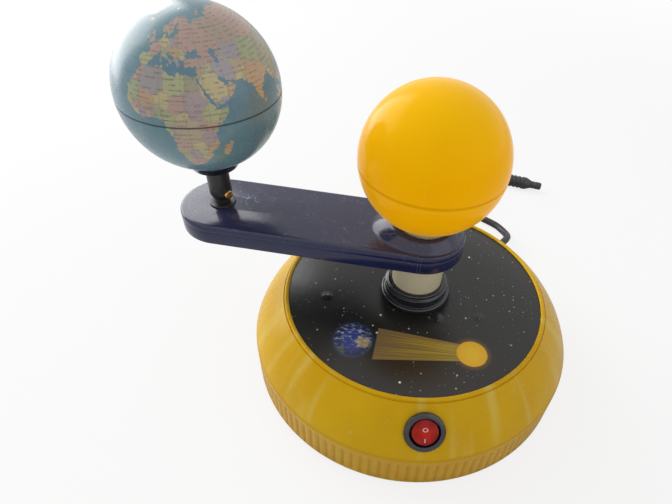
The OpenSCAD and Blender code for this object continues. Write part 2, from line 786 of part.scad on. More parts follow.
module plug_boot() {
    color([0.08, 0.08, 0.08]) at_plug() rotate_extrude() polygon([[0, 0], [cord_r + 0.5, 0],
        [cord_r + 0.9, 1], [boot_r, boot_l - 1.5], [boot_r, boot_l], [0, boot_l]]);
}

module plug_barrel() {
    color("silver") at_plug() translate([0, 0, boot_l + 10]) difference() {
        cylinder(r = barrel_r, h = plug_l + collar_l + barrel_l - 10);
        translate([0, 0, plug_l + collar_l - 10]) cylinder(r = barrel_r - 1.4, h = big);
    }
}

// Cap that keeps dust out of the barrel, with a round nose
module plug_cap() {
    foot = boot_l + plug_l + collar_l;
    length = barrel_l + cap_t;
    nose = [for (i = [0:6]) [cap_r - 2.4 + 2.4 * cos(15 * i), foot + length - 2.4 + 2.4 * sin(15 * i)]];
    color([0.07, 0.07, 0.07]) at_plug() difference() {
        rotate_extrude() polygon(concat([[0, foot], [cap_r, foot]], nose, [[0, foot + length]]));
        translate([0, 0, foot - 1]) cylinder(r = barrel_r + seat_gap, h = barrel_l + 1);
    }
}

module drive_tube() {
    color("antiquewhite") translate([0, 0, gear_zb]) difference() {
        cylinder(r = tube_r, h = tray_floor + tube_seat_h - 0.5 - gear_zb);
        translate([0, 0, -1]) cylinder(r = tube_in, h = big);
    }
}

// Involute gear: half the tooth's angle at radius r, then the outline
function roll(r, base) = r <= base ? 0 : let (a = acos(base / r)) tan(a) * 180 / PI - a;
function half_tooth(r, z, base) = 90 / z - gear_backlash / (gear_m * z) * 180 / PI
    + roll(gear_m * z / 2, base) - roll(max(r, base), base);
flank_steps = 5;
function gear_line(z) = let (p = gear_m * z / 2, base = p * cos(20), root = p - 1.25 * gear_m,
    tip = p + gear_m, low = max(base, root), flank = [for (k = [0:flank_steps]) low
    + (tip - low) * k / flank_steps])
    [for (i = [0:z - 1]) let (c = 360 * i / z) each concat(
        root < low ? [polar(root, c - half_tooth(low, z, base))] : [],
        [for (r = flank) polar(r, c - half_tooth(r, z, base))],
        [for (k = [flank_steps:-1:0]) polar(flank[k], c + half_tooth(flank[k], z, base))],
        root < low ? [polar(root, c + half_tooth(low, z, base))] : [])];

module main_gear() {
    color("white") translate([0, 0, gear_zb]) difference() {
        union() {
            rotate([0, 0, motor_az]) linear_extrude(gear_w) polygon(gear_line(gear_z));
            cylinder(r = hub_r, h = gear_w + hub_h);
        }
        translate([0, 0, -1]) cylinder(r = tube_r, h = big);
        for (a = [30:60:330]) rotate([0, 0, motor_az + a])
            translate([(hub_r + pitch_gear) / 2 - 0.4, 0, -1]) cylinder(r = 2.4, h = gear_w + 2);
    }
}

module motor_pinion() {
    color("white") at_pinion() translate([0, 0, pinion_zb]) difference() {
        rotate([0, 0, 180 + 180 / pinion_z]) linear_extrude(pinion_w) polygon(gear_line(pinion_z));
        translate([0, 0, -1]) cylinder(r = motor_shaft_r, h = pinion_w + 2);
    }
}

module motor_shaft() {
    color("silver") at_pinion() translate([0, 0, pinion_zb - 1])
        cylinder(r = motor_shaft_r, h = motor_zb + 8 - pinion_zb);
}

// Slab with round ends along the arm, as wide as 2 r
module arm_slab(r, h) {
    cylinder(r = r, h = h);
    translate([-arm_l, 0, 0]) cylinder(r = r, h = h);
    translate([-arm_l, -r, 0]) cube([arm_l, 2 * r, h]);
}

// The same slab with its upper edge rounded
module arm_cover(r, h, round) {
    edge = [for (i = [0:6]) [r - round + round * cos(15 * i), h - round + round * sin(15 * i)]];
    back = [for (i = [6:-1:0]) [-edge[i][0], edge[i][1]]];
    for (x = [0, -arm_l]) translate([x, 0, 0]) rotate_extrude()
        polygon(concat([[0, 0], [r, 0]], edge, [[0, h]]));
    translate([-arm_l, 0, 0]) rotate([90, 0, 90]) linear_extrude(arm_l)
        polygon(concat([[-r, 0], [r, 0]], edge, back));
}

module dome_solid(r, h) {
    rotate_extrude() polygon(concat([[0, 0]],
        [for (i = [0:dome_steps]) [r * cos(90 * i / dome_steps), h * sin(90 * i / dome_steps)]]));
}

module arm_tray() {
    color([0.13, 0.15, 0.24]) difference() {
        union() {
            difference() {
                translate([0, 0, arm_z]) arm_slab(arm_r, tray_h);
                translate([0, 0, tray_floor]) arm_slab(arm_r - arm_wall, tray_h);
            }
            translate([0, 0, arm_z])
                cylinder(r = tube_r + tube_seat_t, h = tray_floor + tube_seat_h - arm_z);
            for (p = arm_screw_at) translate([p[0], p[1], arm_z]) cylinder(r = arm_boss_r, h = tray_h);
        }
        translate([0, 0, arm_z - 1]) cylinder(r = tube_r, h = big);
        for (p = arm_screw_at) translate([p[0], p[1], arm_z - 1]) {
            cylinder(r = arm_shank + 0.2, h = arm_h);
            cylinder(r = 2.3, h = 2.2);
        }
    }
}

module arm_lid() {
    lid_h = arm_top - seam_z;
    color([0.13, 0.15, 0.24]) difference() {
        union() {
            difference() {
                translate([0, 0, seam_z]) arm_cover(arm_r, lid_h, lid_round);
                translate([0, 0, seam_z - 1]) arm_cover(arm_r - arm_wall, lid_h + 1 - arm_wall, 1);
            }
            difference() {
                translate([0, 0, arm_top - 1]) dome_solid(dome_r, dome_h + 1);
                translate([0, 0, arm_top - arm_wall]) dome_solid(dome_r - arm_wall, dome_h + 0.3);
            }
            for (p = arm_screw_at) translate([p[0], p[1], seam_z]) cylinder(r = arm_boss_r, h = lid_h - 1);
        }
        translate([0, 0, arm_top - arm_wall - 3]) dome_solid(dome_r - arm_wall - 1, dome_h + 3);
        cylinder(r = dome_hole, h = big);
        translate([-arm_l, 0, 0]) cylinder(r = shaft_r + bush_wall, h = big);
        for (p = arm_screw_at) translate([p[0], p[1], seam_z - 1]) cylinder(r = arm_shank, h = lid_h - 1);
    }
}

module arm_screws() {
    color("silver") for (p = arm_screw_at) translate([p[0], p[1], arm_z]) {
        difference() {
            cylinder(r = 2.1, h = 1.1);
            translate([-3, -0.3, -tiny]) cube([6, 0.6, 0.5]);
        }
        translate([0, 0, 1.1]) cylinder(r = arm_shank - 0.02, h = tray_h + 0.8);
    }
}

module shaft_bush() {
    color([0.1, 0.1, 0.11]) translate([-arm_l, 0, 0]) difference() {
        union() {
            translate([0, 0, arm_top - arm_wall - 0.3])
                cylinder(r = shaft_r + bush_wall, h = arm_wall + 0.3);
            translate([0, 0, arm_top]) cylinder(r = bush_rim, h = bush_rim_h);
        }
        cylinder(r = shaft_r + run_gap, h = big);
    }
}

module foot_bush() {
    color("goldenrod") translate([-arm_l, 0, tray_floor]) difference() {
        cylinder(r = shaft_r + bush_wall, h = tube_seat_h);
        translate([0, 0, -1]) cylinder(r = shaft_r + run_gap, h = tube_seat_h + 2);
    }
}

// Slab inside the belt's line round the two pulleys
module belt_slab(r1, r2, h) {
    s = (r1 - r2) / arm_l;
    c = sqrt(1 - s * s);
    cylinder(r = r1, h = h);
    translate([-arm_l, 0, 0]) cylinder(r = r2, h = h);
    linear_extrude(h) polygon([[-r1 * s, r1 * c], [-arm_l - r2 * s, r2 * c], [-arm_l - r2 * s, -r2 * c],
        [-r1 * s, -r1 * c]]);
}

module drive_belt() {
    a = fixed_pulley_r + free_gap;
    b = earth_pulley_r + free_gap;
    color([0.12, 0.12, 0.12]) translate([0, 0, pulley_zb + pulley_rim_t + free_gap]) difference() {
        belt_slab(a + belt_t, b + belt_t, belt_w);
        translate([0, 0, -1]) belt_slab(a, b, belt_w + 2);
    }
}

module earth_shaft() {
    color("gray") translate([-arm_l, 0, shaft_zb]) cylinder(r = shaft_r, h = shaft_top - shaft_zb);
}

module earth_pulley() {
    color("white") translate([-arm_l, 0, pulley_zb]) pulley(earth_pulley_r, shaft_r);
}

module stem_socket() {
    color([0.09, 0.09, 0.09]) translate([-arm_l, 0, 0]) difference() {
        union() {
            translate([0, 0, socket_zb]) cylinder(r1 = shaft_r + 0.6, r2 = socket_r, h = taper_h);
            translate([0, 0, socket_zb + taper_h])
                cylinder(r = socket_r, h = socket_top - socket_zb - taper_h);
        }
        cylinder(r = shaft_r, h = big);
        translate([0, 0, set_screw_z]) rotate([0, 90, set_screw_az]) cylinder(r = 1.5, h = socket_r + 1);
    }
}

module set_screw() {
    color("goldenrod") translate([-arm_l, 0, set_screw_z]) rotate([0, 90, set_screw_az]) difference() {
        union() {
            translate([0, 0, shaft_r]) cylinder(r = 1.45, h = socket_r - shaft_r + 0.2);
            translate([0, 0, socket_r + 0.05]) cylinder(r = 2.5, h = 1.5);
        }
        translate([-0.35, -3, socket_r + 0.9]) cube([0.7, 6, 2]);
    }
}

module saucer() {
    dish = earth_r + seat_gap;
    inner = asin(shaft_r / dish);
    outer = asin(saucer_r / dish);
    rim = earth_z - dish * cos(outer);
    seat = [for (i = [0:10]) let (a = outer + (inner - outer) * i / 10)
        [dish * sin(a), earth_z - dish * cos(a)]];
    color([0.09, 0.09, 0.09]) translate([-arm_l, 0, 0]) rotate_extrude() polygon(concat(
        [[shaft_r, socket_top], [socket_r + 0.4, socket_top], [saucer_r, rim - saucer_t + 0.8]], seat));
}

module globe_hub() {
    color("ivory") translate([-arm_l, 0, 0]) difference() {
        intersection() {
            translate([0, 0, earth_z - earth_in]) cylinder(r = hub_in_r, h = hub_in_h);
            translate([0, 0, earth_z]) sphere(r = earth_in - seat_gap, $fn = 96);
        }
        cylinder(r = shaft_r, h = big);
    }
}

module globe_south() {
    color("steelblue") translate([-arm_l, 0, 0]) half_ball(earth_r, earth_z, shaft_r + seat_gap);
}

module globe_north() {
    color("steelblue") translate([-arm_l, 0, 0]) top_half_ball(earth_r, earth_z);
}

base_shell();
bottom_plate();
foot_ring();
plate_screws();
star_film();
collar();
collar_nut();
pedestal();
pedestal_screws();
thrust_washer();
lamp_tube();
fixed_pulley();
sun_neck();
lamp_holder();
bulb_cap();
bulb_glass();
sun_lower();
sun_upper();
motor_case();
motor_ears();
motor_screws();
terminal_block();
block_screws();
wiring();
switch_body();
switch_terminals();
rocker();
strain_relief();
power_cord();
cord_coil();
plug_lead();
plug_body();
plug_boot();
plug_barrel();
plug_cap();
drive_tube();
main_gear();
arm_tray();
arm_lid();
arm_screws();
shaft_bush();
foot_bush();
drive_belt();
earth_shaft();
earth_pulley();
stem_socket();
set_screw();
saucer();
globe_hub();
globe_south();
globe_north();
motor_shaft();
motor_pinion();
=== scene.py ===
"""A motorised tellurion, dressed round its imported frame.

The frame holds the pieces at their true size. This file models the visible shells, prints, cord and
fittings over it, gives every piece its finish, and sets up the camera, the floor and the light.
Sizes are in metres, in the frame's own axes: +Z up, the arm along -X and the switch towards -Y.
"""
import logging
import math
from dataclasses import dataclass
from enum import Enum
from functools import partialmethod
from typing import Callable, Iterable, Protocol, Sequence

import bpy
import numpy as np
from mathutils import Matrix, Vector


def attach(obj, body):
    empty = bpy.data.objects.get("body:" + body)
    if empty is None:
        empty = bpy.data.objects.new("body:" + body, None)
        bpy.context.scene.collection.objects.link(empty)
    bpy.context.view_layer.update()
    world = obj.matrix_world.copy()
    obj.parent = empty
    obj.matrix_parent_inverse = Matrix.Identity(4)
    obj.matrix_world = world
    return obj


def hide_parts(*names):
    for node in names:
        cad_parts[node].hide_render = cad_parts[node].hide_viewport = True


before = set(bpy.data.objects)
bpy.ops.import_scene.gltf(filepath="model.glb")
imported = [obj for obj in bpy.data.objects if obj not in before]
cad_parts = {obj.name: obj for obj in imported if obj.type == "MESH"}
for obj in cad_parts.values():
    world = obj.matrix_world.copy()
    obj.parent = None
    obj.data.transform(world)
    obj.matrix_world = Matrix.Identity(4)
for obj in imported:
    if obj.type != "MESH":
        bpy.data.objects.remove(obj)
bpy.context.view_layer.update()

LOG = logging.getLogger("tellurion")
MM = 0.001
ORIGIN = (0.0, 0.0, 0.0)
UPRIGHT = (0.0, 0.0, 1.0)
PHOTO_SIZE = (672, 504)

Thing = bpy.types.Object
Material = bpy.types.Material
Point = tuple[float, float, float]
Colour = Point
Spot = tuple[float, float]
Line = list[Spot]


class Body(Enum):
    """The rigid bodies of the frame that a piece can ride on."""

    BASE = "base"
    ARM = "arm"
    EARTH = "earth"
    ROCKER = "rocker"


def mm(*values: float) -> tuple[float, ...]:
    """Return lengths given in millimetres as metres."""
    return tuple(value * MM for value in values)


class Val:
    """A number that changes over a surface, with the arithmetic of a Python number."""

    def __init__(self, tree: "Tree", socket: bpy.types.NodeSocket) -> None:
        """Wrap a socket of a material's node tree."""
        self.tree = tree
        self.socket = socket

    def _with(self, operation: str, other: "Val | float") -> "Val":
        """Return a Math node's result."""
        return self.tree.math(operation, self, other)

    __add__ = partialmethod(_with, "ADD")
    __sub__ = partialmethod(_with, "SUBTRACT")
    __mul__ = partialmethod(_with, "MULTIPLY")
    __truediv__ = partialmethod(_with, "DIVIDE")
    __mod__ = partialmethod(_with, "FLOORED_MODULO")

    def __rsub__(self, other: float) -> "Val":
        """Return the other less this."""
        return self.tree.math("SUBTRACT", other, self)

    def __abs__(self) -> "Val":
        """Return the size of this."""
        return self.tree.math("ABSOLUTE", self)

    def cap(self, low: float = 0.0, high: float = 1.0) -> "Val":
        """Return this held between two numbers."""
        return self.tree.math("MINIMUM", self.tree.math("MAXIMUM", self, low), high)

    def ramp(self, low: float, high: float) -> "Val":
        """Return a soft step from 0 at low to 1 at high, or falling where low is above high."""
        inputs = {"Value": self, "From Min": low, "From Max": high}
        node = self.tree.node("ShaderNodeMapRange", inputs, interpolation_type="SMOOTHSTEP")
        return Val(self.tree, node.outputs["Result"])


class Vec:
    """A vector or colour that changes over a surface."""

    def __init__(self, tree: "Tree", socket: bpy.types.NodeSocket) -> None:
        """Wrap a vector or colour socket of a material's node tree."""
        self.tree = tree
        self.socket = socket

    def _with(self, operation: str, other: "Vec | Point") -> "Vec":
        """Return a Vector Math node's result."""
        node = self.tree.node("ShaderNodeVectorMath", {0: self, 1: other}, operation=operation)
        return Vec(self.tree, node.outputs[0])

    __add__ = partialmethod(_with, "ADD")
    __sub__ = partialmethod(_with, "SUBTRACT")
    __mul__ = partialmethod(_with, "MULTIPLY")

    def under(self, share: Val | float, colour: "Input") -> "Vec":
        """Return this with a share of another colour laid over it."""
        return self.tree.mix(share, self, colour)

    def parts(self) -> tuple[Val, Val, Val]:
        """Return the x, y and z parts."""
        node = self.tree.node("ShaderNodeSeparateXYZ", {0: self})
        return tuple(Val(self.tree, out) for out in node.outputs[:3])

    def length(self) -> Val:
        """Return the vector's length."""
        node = self.tree.node("ShaderNodeVectorMath", {0: self}, operation="LENGTH")
        return Val(self.tree, node.outputs["Value"])


Input = Val | Vec | float | Sequence[float]


class Nodes:
    """A node tree that is written as expressions."""

    def __init__(self, owner: Material | bpy.types.World) -> None:
        """Clear the owner's node tree."""
        owner.use_nodes = True
        self.nodes = owner.node_tree.nodes
        self.links = owner.node_tree.links
        self.nodes.clear()

    def put(self, socket: bpy.types.NodeSocket, value: Input) -> None:
        """Link or set one input socket.

        Args:
            socket: The input.
            value: What it takes: a wrapped socket, a number, or a colour of three numbers.
        """
        if isinstance(value, (Val, Vec)):
            self.links.new(value.socket, socket)
        elif isinstance(value, (int, float)):
            socket.default_value = value
        else:
            size = len(socket.default_value)
            socket.default_value = (*value, 1.0)[:size]

    def node(self, kind: str, inputs: dict[str | int, Input] | None = None, **settings) -> bpy.types.Node:
        """Add any node.

        Args:
            kind: The node's type.
            inputs: What its sockets take, by name or by number.
            settings: The node's own settings, set before its sockets.

        Returns:
            The node.
        """
        node = self.nodes.new(kind)
        for key, value in settings.items():
            setattr(node, key, value)
        for key, value in (inputs or {}).items():
            self.put(node.inputs[key], value)
        return node

    def math(self, operation: str, *terms: Val | float) -> Val:
        """Return a Math node's result."""
        return Val(self, self.node("ShaderNodeMath", dict(enumerate(terms)), operation=operation).outputs[0])


class Tree(Nodes):
    """A material's node tree."""

    def __init__(self, name: str) -> None:
        """Start an empty material with a principled surface."""
        self.material = bpy.data.materials.new(name)
        super().__init__(self.material)
        self.shader = self.nodes.new("ShaderNodeBsdfPrincipled")
        self.output = self.nodes.new("ShaderNodeOutputMaterial")
        self.links.new(self.shader.outputs[0], self.output.inputs["Surface"])

    def mix(self, share: Val | float, one: Input, other: Input) -> Vec:
        """Return a colour that goes from one to the other as share goes from 0 to 1."""
        node = self.node("ShaderNodeMix", {0: share, 6: one, 7: other}, data_type="RGBA")
        return Vec(self, node.outputs[2])

    def place(self) -> Vec:
        """Return the place on the object, in metres."""
        return Vec(self, self.node("ShaderNodeTexCoord").outputs["Object"])

    def join(self, x: Val | float, y: Val | float, z: Val | float = 0.0) -> Vec:
        """Return a vector of three numbers."""
        return Vec(self, self.node("ShaderNodeCombineXYZ", {0: x, 1: y, 2: z}).outputs[0])

    def noise(self, at: Vec, scale: float, detail: float = 2.0, rough: float = 0.5) -> Val:
        """Return cloudy noise about 0.5, with scale waves to the metre."""
        inputs = {"Vector": at, "Scale": scale, "Detail": detail, "Roughness": rough}
        return Val(self, self.node("ShaderNodeTexNoise", inputs).outputs[0])

    def cells(self, at: Vec, scale: float) -> tuple[Val, Vec]:
        """Return the distance to the nearest of scattered points on the level, and that point's colour."""
        node = self.node("ShaderNodeTexVoronoi", {"Vector": at, "Scale": scale}, voronoi_dimensions="2D")
        return Val(self, node.outputs["Distance"]), Vec(self, node.outputs["Color"])

    def drift(self, cloud: Val, one: Colour, other: Colour) -> Vec:
        """Return a colour that drifts between two tones with a cloud."""
        return self.mix(cloud.ramp(0.3, 0.7), one, other)

    def scratches(self, at: Vec, stretch: Point, scale: float, share: float) -> Val:
        """Return thin lines, 1 on a line: noise drawn out along one way and cut near its middle.

        Args:
            at: The place on the surface.
            stretch: How the noise is squeezed along x, y and z.
            scale: How fine the lines are, in waves to the metre.
            share: How wide the lines are, as a part of the noise's range.

        Returns:
            The lines.
        """
        lines = self.noise(at * stretch, scale, 1.0)
        return abs(lines - 0.5).ramp(share, share * 0.3)

    def surface(self, base: Input, rough: Input, bump: Val | None = None, depth: float = 0.0001,
                metal: Input = 0.0, coat: Input = 0.0, **fixed: float | Sequence[float]) -> Material:
        """Finish the material.

        Args:
            base: Base colour.
            rough: Roughness.
            bump: Height of the surface, from 0 to 1.
            depth: How far in metres the bump rises from 0 to 1.
            metal: How metallic it is.
            coat: How much clear coat it has.
            fixed: The shader's other inputs, each the same all over, by name with _ for a space.

        Returns:
            The material.
        """
        looks = {"Base Color": base, "Roughness": rough, "Metallic": metal, "Coat Weight": coat}
        for name, value in looks.items():
            self.put(self.shader.inputs[name], value)
        for name, value in fixed.items():
            self.put(self.shader.inputs[name.replace("_", " ")], value)
        if bump is not None:
            node = self.node("ShaderNodeBump", {"Height": bump, "Distance": depth, "Strength": 1.0})
            self.links.new(node.outputs[0], self.shader.inputs["Normal"])
        return self.material


@dataclass(frozen=True)
class Plastic:
    """Moulded plastic: two tones that drift, a fine skin, hair scratches and some dust."""

    name: str
    colour: Colour
    drift: Colour
    rough: float = 0.35
    skin: float = 0.00002
    scratched: float = 0.0
    dust: float = 0.0
    coat: float = 0.0
    dust_tone: Colour = (0.62, 0.60, 0.55)

    def make(self) -> Material:
        """Return the material."""
        tree = Tree(self.name)
        at = tree.place()
        cloud = tree.noise(at, 28.0, 3.0)
        fine = tree.noise(at, 900.0, 2.0)
        tone = tree.drift(cloud, self.colour, self.drift)
        dusty = tree.noise(at, 140.0, 5.0, 0.7).ramp(0.52, 0.8) * self.dust
        tone = tone.under(dusty, self.dust_tone)
        rough = cloud * 0.08 + fine * 0.06 + dusty * 0.3 + (self.rough - 0.07)
        height = fine
        if self.scratched:
            lines = tree.scratches(at, (1.0, 6.0, 2.0), 55.0, 0.006)
            lines = lines + tree.scratches(at, (5.0, 1.0, 3.0), 70.0, 0.004)
            lines = lines * tree.noise(at, 60.0).ramp(0.5, 0.62) * self.scratched
            rough = rough + lines * 0.25
            height = fine - lines * 0.8
        return tree.surface(tone, rough.cap(0.03), height, self.skin, coat=self.coat)


@dataclass(frozen=True)
class Metal:
    """Bare metal with the lines of its machining, darker where it is handled."""

    name: str
    colour: Colour
    rough: float = 0.3
    brushed: Point = (1.0, 1.0, 14.0)

    def make(self) -> Material:
        """Return the material."""
        tree = Tree(self.name)
        at = tree.place()
        lines = tree.noise(at * self.brushed, 420.0, 3.0, 0.6)
        stain = tree.noise(at, 90.0, 4.0)
        dark = tuple(part * 0.6 for part in self.colour)
        tone = tree.mix(stain.ramp(0.45, 0.75) * 0.5, self.colour, dark)
        rough = lines * 0.18 + stain * 0.12 + (self.rough - 0.15)
        return tree.surface(tone, rough.cap(0.05), lines, 0.00002, metal=1.0)


@dataclass(frozen=True)
class Rubber:
    """Dull black rubber with a fine grain, rubbed grey in places."""

    name: str
    colour: Colour = (0.018, 0.018, 0.019)
    worn: Colour = (0.034, 0.033, 0.032)
    rough: float = 0.55

    def make(self) -> Material:
        """Return the material."""
        tree = Tree(self.name)
        at = tree.place()
        grain = tree.noise(at, 1800.0, 3.0, 0.6)
        rubbed = tree.noise(at, 75.0, 5.0, 0.65)
        tone = tree.mix(rubbed.ramp(0.45, 0.75), self.colour, self.worn)
        rough = grain * 0.12 + rubbed * 0.18 + (self.rough - 0.15)
        return tree.surface(tone, rough, grain, 0.00003)


class Finish(Protocol):
    """Anything that makes a material."""

    def make(self) -> Material:
        """Return the material."""


@dataclass(frozen=True)
class YellowShell:
    """The base's yellow plastic: painted highlight streaks on the cone, painted shade on the fluted band,
    rubbed edges.
    """

    name: str = "yellow_moulding"
    colour: Colour = (0.76, 0.46, 0.008)
    deep: Colour = (0.70, 0.39, 0.006)
    # Painted highlight: the pale tone of the streaks down the cone.
    pale: Colour = (0.78, 0.58, 0.13)
    # Painted shade: the darker tone laid in the flutes' grooves.
    groove_shade: Colour = (0.36, 0.15, 0.006)
    # Painted shade: the darker tone of the upright band below the knee.
    band_shade: Colour = (0.5, 0.24, 0.01)
    grime: Colour = (0.22, 0.12, 0.03)
    dust: Colour = (0.9, 0.8, 0.5)
    scratch: Colour = (0.97, 0.82, 0.4)
    knee: float = 0.026
    radius: float = 0.1047
    groove: float = 0.00055

    def make(self) -> Material:
        """Return the material."""
        tree = Tree(self.name)
        at = tree.place()
        x, y, z = at.parts()
        out = tree.join(x, y).length()
        round_it = tree.math("ARCTAN2", y, x)
        cloud = tree.noise(at, 22.0, 4.0)
        fine = tree.noise(at, 1100.0, 2.0)
        tone = tree.mix(cloud.ramp(0.32, 0.7), self.colour, self.deep)
        # The pale streaks down the cone are painted highlights.
        streak = tree.noise(tree.join(round_it * 6.5, z * 9.0), 1.0, 2.0, 0.45)
        cone = z.ramp(self.knee, self.knee + 0.003)
        tone = tone.under(streak.ramp(0.54, 0.72) * cone * 0.6, self.pale)
        below = 1.0 - cone
        # Painted shade in the flutes' grooves, deepest at their floors.
        sunk = (self.radius - out).ramp(self.groove * 0.15, self.groove * 0.95) * below
        tone = tone.under(sunk * 0.32, self.groove_shade)
        # Painted shade over the whole upright band below the knee.
        tone = tone.under(below * 0.25, self.band_shade)
        grime = z.ramp(0.009, 0.0015) * tree.noise(at, 130.0, 4.0, 0.65).ramp(0.4, 0.7)
        tone = tone.under(grime * 0.5, self.grime)
        dust = tree.noise(at, 420.0, 5.0, 0.75).ramp(0.6, 0.78) * z.ramp(0.03, 0.05)
        tone = tone.under(dust * 0.22, self.dust)
        lines = tree.scratches(at, (1.0, 5.0, 2.0), 60.0, 0.005) * tree.noise(at, 45.0).ramp(0.52, 0.64)
        tone = tone.under(lines * 0.35, self.scratch)
        rough = cloud * 0.1 + streak * 0.08 + fine * 0.05 + dust * 0.2 + sunk * 0.2 + 0.16
        return tree.surface(tone, rough.cap(0.08, 0.8), fine * 0.5 + streak * 0.3, 0.00002,
                            Specular_IOR_Level=0.25, Specular_Tint=(1.0, 0.82, 0.3))


@dataclass(frozen=True)
class StarPrint:
    """The printed film: a night sky with stars, a blue planet, and a small sun with its rays."""

    name: str = "star_print"
    sky: Colour = (0.011, 0.0105, 0.0095)
    haze: Colour = (0.016, 0.0155, 0.015)
    rust: Colour = (0.026, 0.016, 0.007)
    warm_star: Colour = (0.95, 0.9, 0.75)
    cool_star: Colour = (0.55, 0.66, 0.95)
    beam_ground: tuple[Colour, Colour] = ((0.21, 0.135, 0.07), (0.36, 0.24, 0.018))
    beam_bright: Colour = (0.72, 0.52, 0.035)
    beam_edge: Colour = (0.3, 0.22, 0.13)
    ocean: tuple[Colour, Colour] = ((0.035, 0.055, 0.26), (0.012, 0.02, 0.09))
    desert: Colour = (0.42, 0.33, 0.16)
    forest: Colour = (0.10, 0.13, 0.06)
    cloud: Colour = (0.6, 0.63, 0.68)
    halo: Colour = (0.06, 0.12, 0.25)
    fire: tuple[Colour, Colour] = ((0.95, 0.60, 0.015), (0.92, 0.5, 0.01))
    corona: Colour = (0.4, 0.2, 0.02)
    scratch: Colour = (0.4, 0.4, 0.42)
    planet_at: Spot = (-0.0316, -0.0484)
    planet_size: Spot = (0.0116, 0.0123)
    sun_at: Spot = (0.0386, -0.0454)
    sun_size: Spot = (0.0091, 0.0092)
    ray_foot: tuple[Spot, Spot] = ((-0.0187, -0.0366), (-0.0177, -0.0608))
    ray_tip: float = 0.0056

    def stars(self, tree: Tree, at: Vec, tone: Vec) -> Vec:
        """Scatter stars of four sizes over the sky.

        Args:
            tree: The material.
            at: The place on the film.
            tone: The sky.

        Returns:
            The sky with its stars.
        """
        for scale, size, bright, share in ((55.0, 0.0010, 0.95, 0.16), (95.0, 0.0007, 0.85, 0.18),
                                           (170.0, 0.0005, 0.7, 0.14), (330.0, 0.0003, 0.5, 0.12)):
            near, tint = tree.cells(at * (1.0, 1.0, 0.0) + (scale, 0.3, 0.0), scale)
            chance, cool, size_by = tint.parts()
            spot = near.ramp(size * scale, size * scale * 0.35) * chance.ramp(1.0 - share, 1.02 - share)
            colour = tree.mix(cool.ramp(0.7, 0.95), self.warm_star, self.cool_star)
            tone = tone.under(spot * (size_by * 0.6 + 0.4) * bright, colour)
        return tone

    def rays(self, tree: Tree, at: Vec, tone: Vec) -> Vec:
        """Draw the brown beam that narrows from the planet's side to the small sun.

        Args:
            tree: The material.
            at: The place on the film.
            tone: The sky.

        Returns:
            The sky with the beam.
        """
        x, y, _ = at.parts()
        (left, high), (_, low) = self.ray_foot
        end, level = self.sun_at
        along = (x - left) / (end - left)
        half = (1.0 - along) * ((high - low) / 2 - self.ray_tip) + self.ray_tip
        middle = along * (level - (high + low) / 2) + (high + low) / 2
        off = (y - middle) / half
        inside = abs(off).ramp(1.0, 0.94) * along.ramp(0.0, 0.015) * along.ramp(1.0, 0.97)
        edge = (abs(off).ramp(0.9, 0.95) * abs(off).ramp(1.02, 0.98) + along.ramp(0.02, 0.0)) * inside
        streak = tree.noise(tree.join(off * 15.0, along * 0.9, 3.0), 1.0, 3.0, 0.6)
        ground = tree.mix(along, *self.beam_ground)
        beam = ground.under(streak.ramp(0.44, 0.62) * (along * 0.75 + 0.15), self.beam_bright)
        return tone.under(inside * 0.85, beam).under(edge * 0.35, self.beam_edge)

    def planet(self, tree: Tree, at: Vec, tone: Vec) -> Vec:
        """Draw the blue planet with its clouds and a patch of desert.

        Args:
            tree: The material.
            at: The place on the film.
            tone: The sky.

        Returns:
            The sky with the planet.
        """
        x, y, _ = at.parts()
        wave = tree.noise(at, 420.0, 4.0, 0.65) - 0.5
        across = (x - self.planet_at[0]) / self.planet_size[0]
        up = (y - self.planet_at[1]) / self.planet_size[1]
        out = tree.join(across, up).length() + wave * 0.16
        disc = out.ramp(1.02, 0.92)
        sea = tree.mix(out.ramp(0.3, 1.0), *self.ocean)
        land = tree.join(across - 0.5 + wave * 0.9, up + 0.08 + wave * 0.6).length().ramp(0.42, 0.3)
        sea = sea.under(land * 0.85, self.desert)
        green = tree.noise(at, 300.0, 2.0).ramp(0.55, 0.66) * out.ramp(0.5, 0.8)
        sea = sea.under(green * 0.8, self.forest)
        cloud = tree.noise(at * (1.0, 1.8, 1.0), 330.0, 5.0, 0.7).ramp(0.5, 0.64) * up.ramp(-0.8, 0.3)
        sea = sea.under(cloud * 0.75, self.cloud)
        return tone.under(out.ramp(1.18, 0.98) * 0.25, self.halo).under(disc, sea)

    def make(self) -> Material:
        """Return the material."""
        tree = Tree(self.name)
        at = tree.place()
        x, y, _ = at.parts()
        cloud = tree.noise(at, 18.0, 4.0, 0.6)
        far = (y - x * 0.6).ramp(-0.06, 0.09) * cloud.ramp(0.3, 0.7)
        tone = tree.mix(far, self.sky, self.haze)
        tone = tone.under(y.ramp(-0.03, -0.085) * cloud.ramp(0.35, 0.75) * 0.8, self.rust)
        for draw in (self.stars, self.rays, self.planet):
            tone = draw(tree, at, tone)
        across = (x - self.sun_at[0]) / self.sun_size[0]
        up = (y - self.sun_at[1]) / self.sun_size[1]
        out = tree.join(across, up).length() + tree.noise(at, 600.0, 3.0) * 0.1 - 0.05
        fire = tree.mix(out.ramp(0.2, 1.0), *self.fire)
        tone = tone.under(out.ramp(1.4, 0.98) * 0.3, self.corona)
        tone = tone.under(out.ramp(1.04, 0.94), fire)
        lines = tree.scratches(at, (1.0, 4.0, 1.0), 70.0, 0.004) * tree.noise(at, 50.0).ramp(0.5, 0.62)
        tone = tone.under(lines * 0.08, self.scratch)
        rough = cloud * 0.14 + tree.noise(at, 260.0, 3.0) * 0.1 + lines * 0.2 + 0.2
        return tree.surface(tone, rough.cap(0.06), tree.noise(at, 240.0, 3.0), 0.00003,
                            Specular_IOR_Level=0.42)


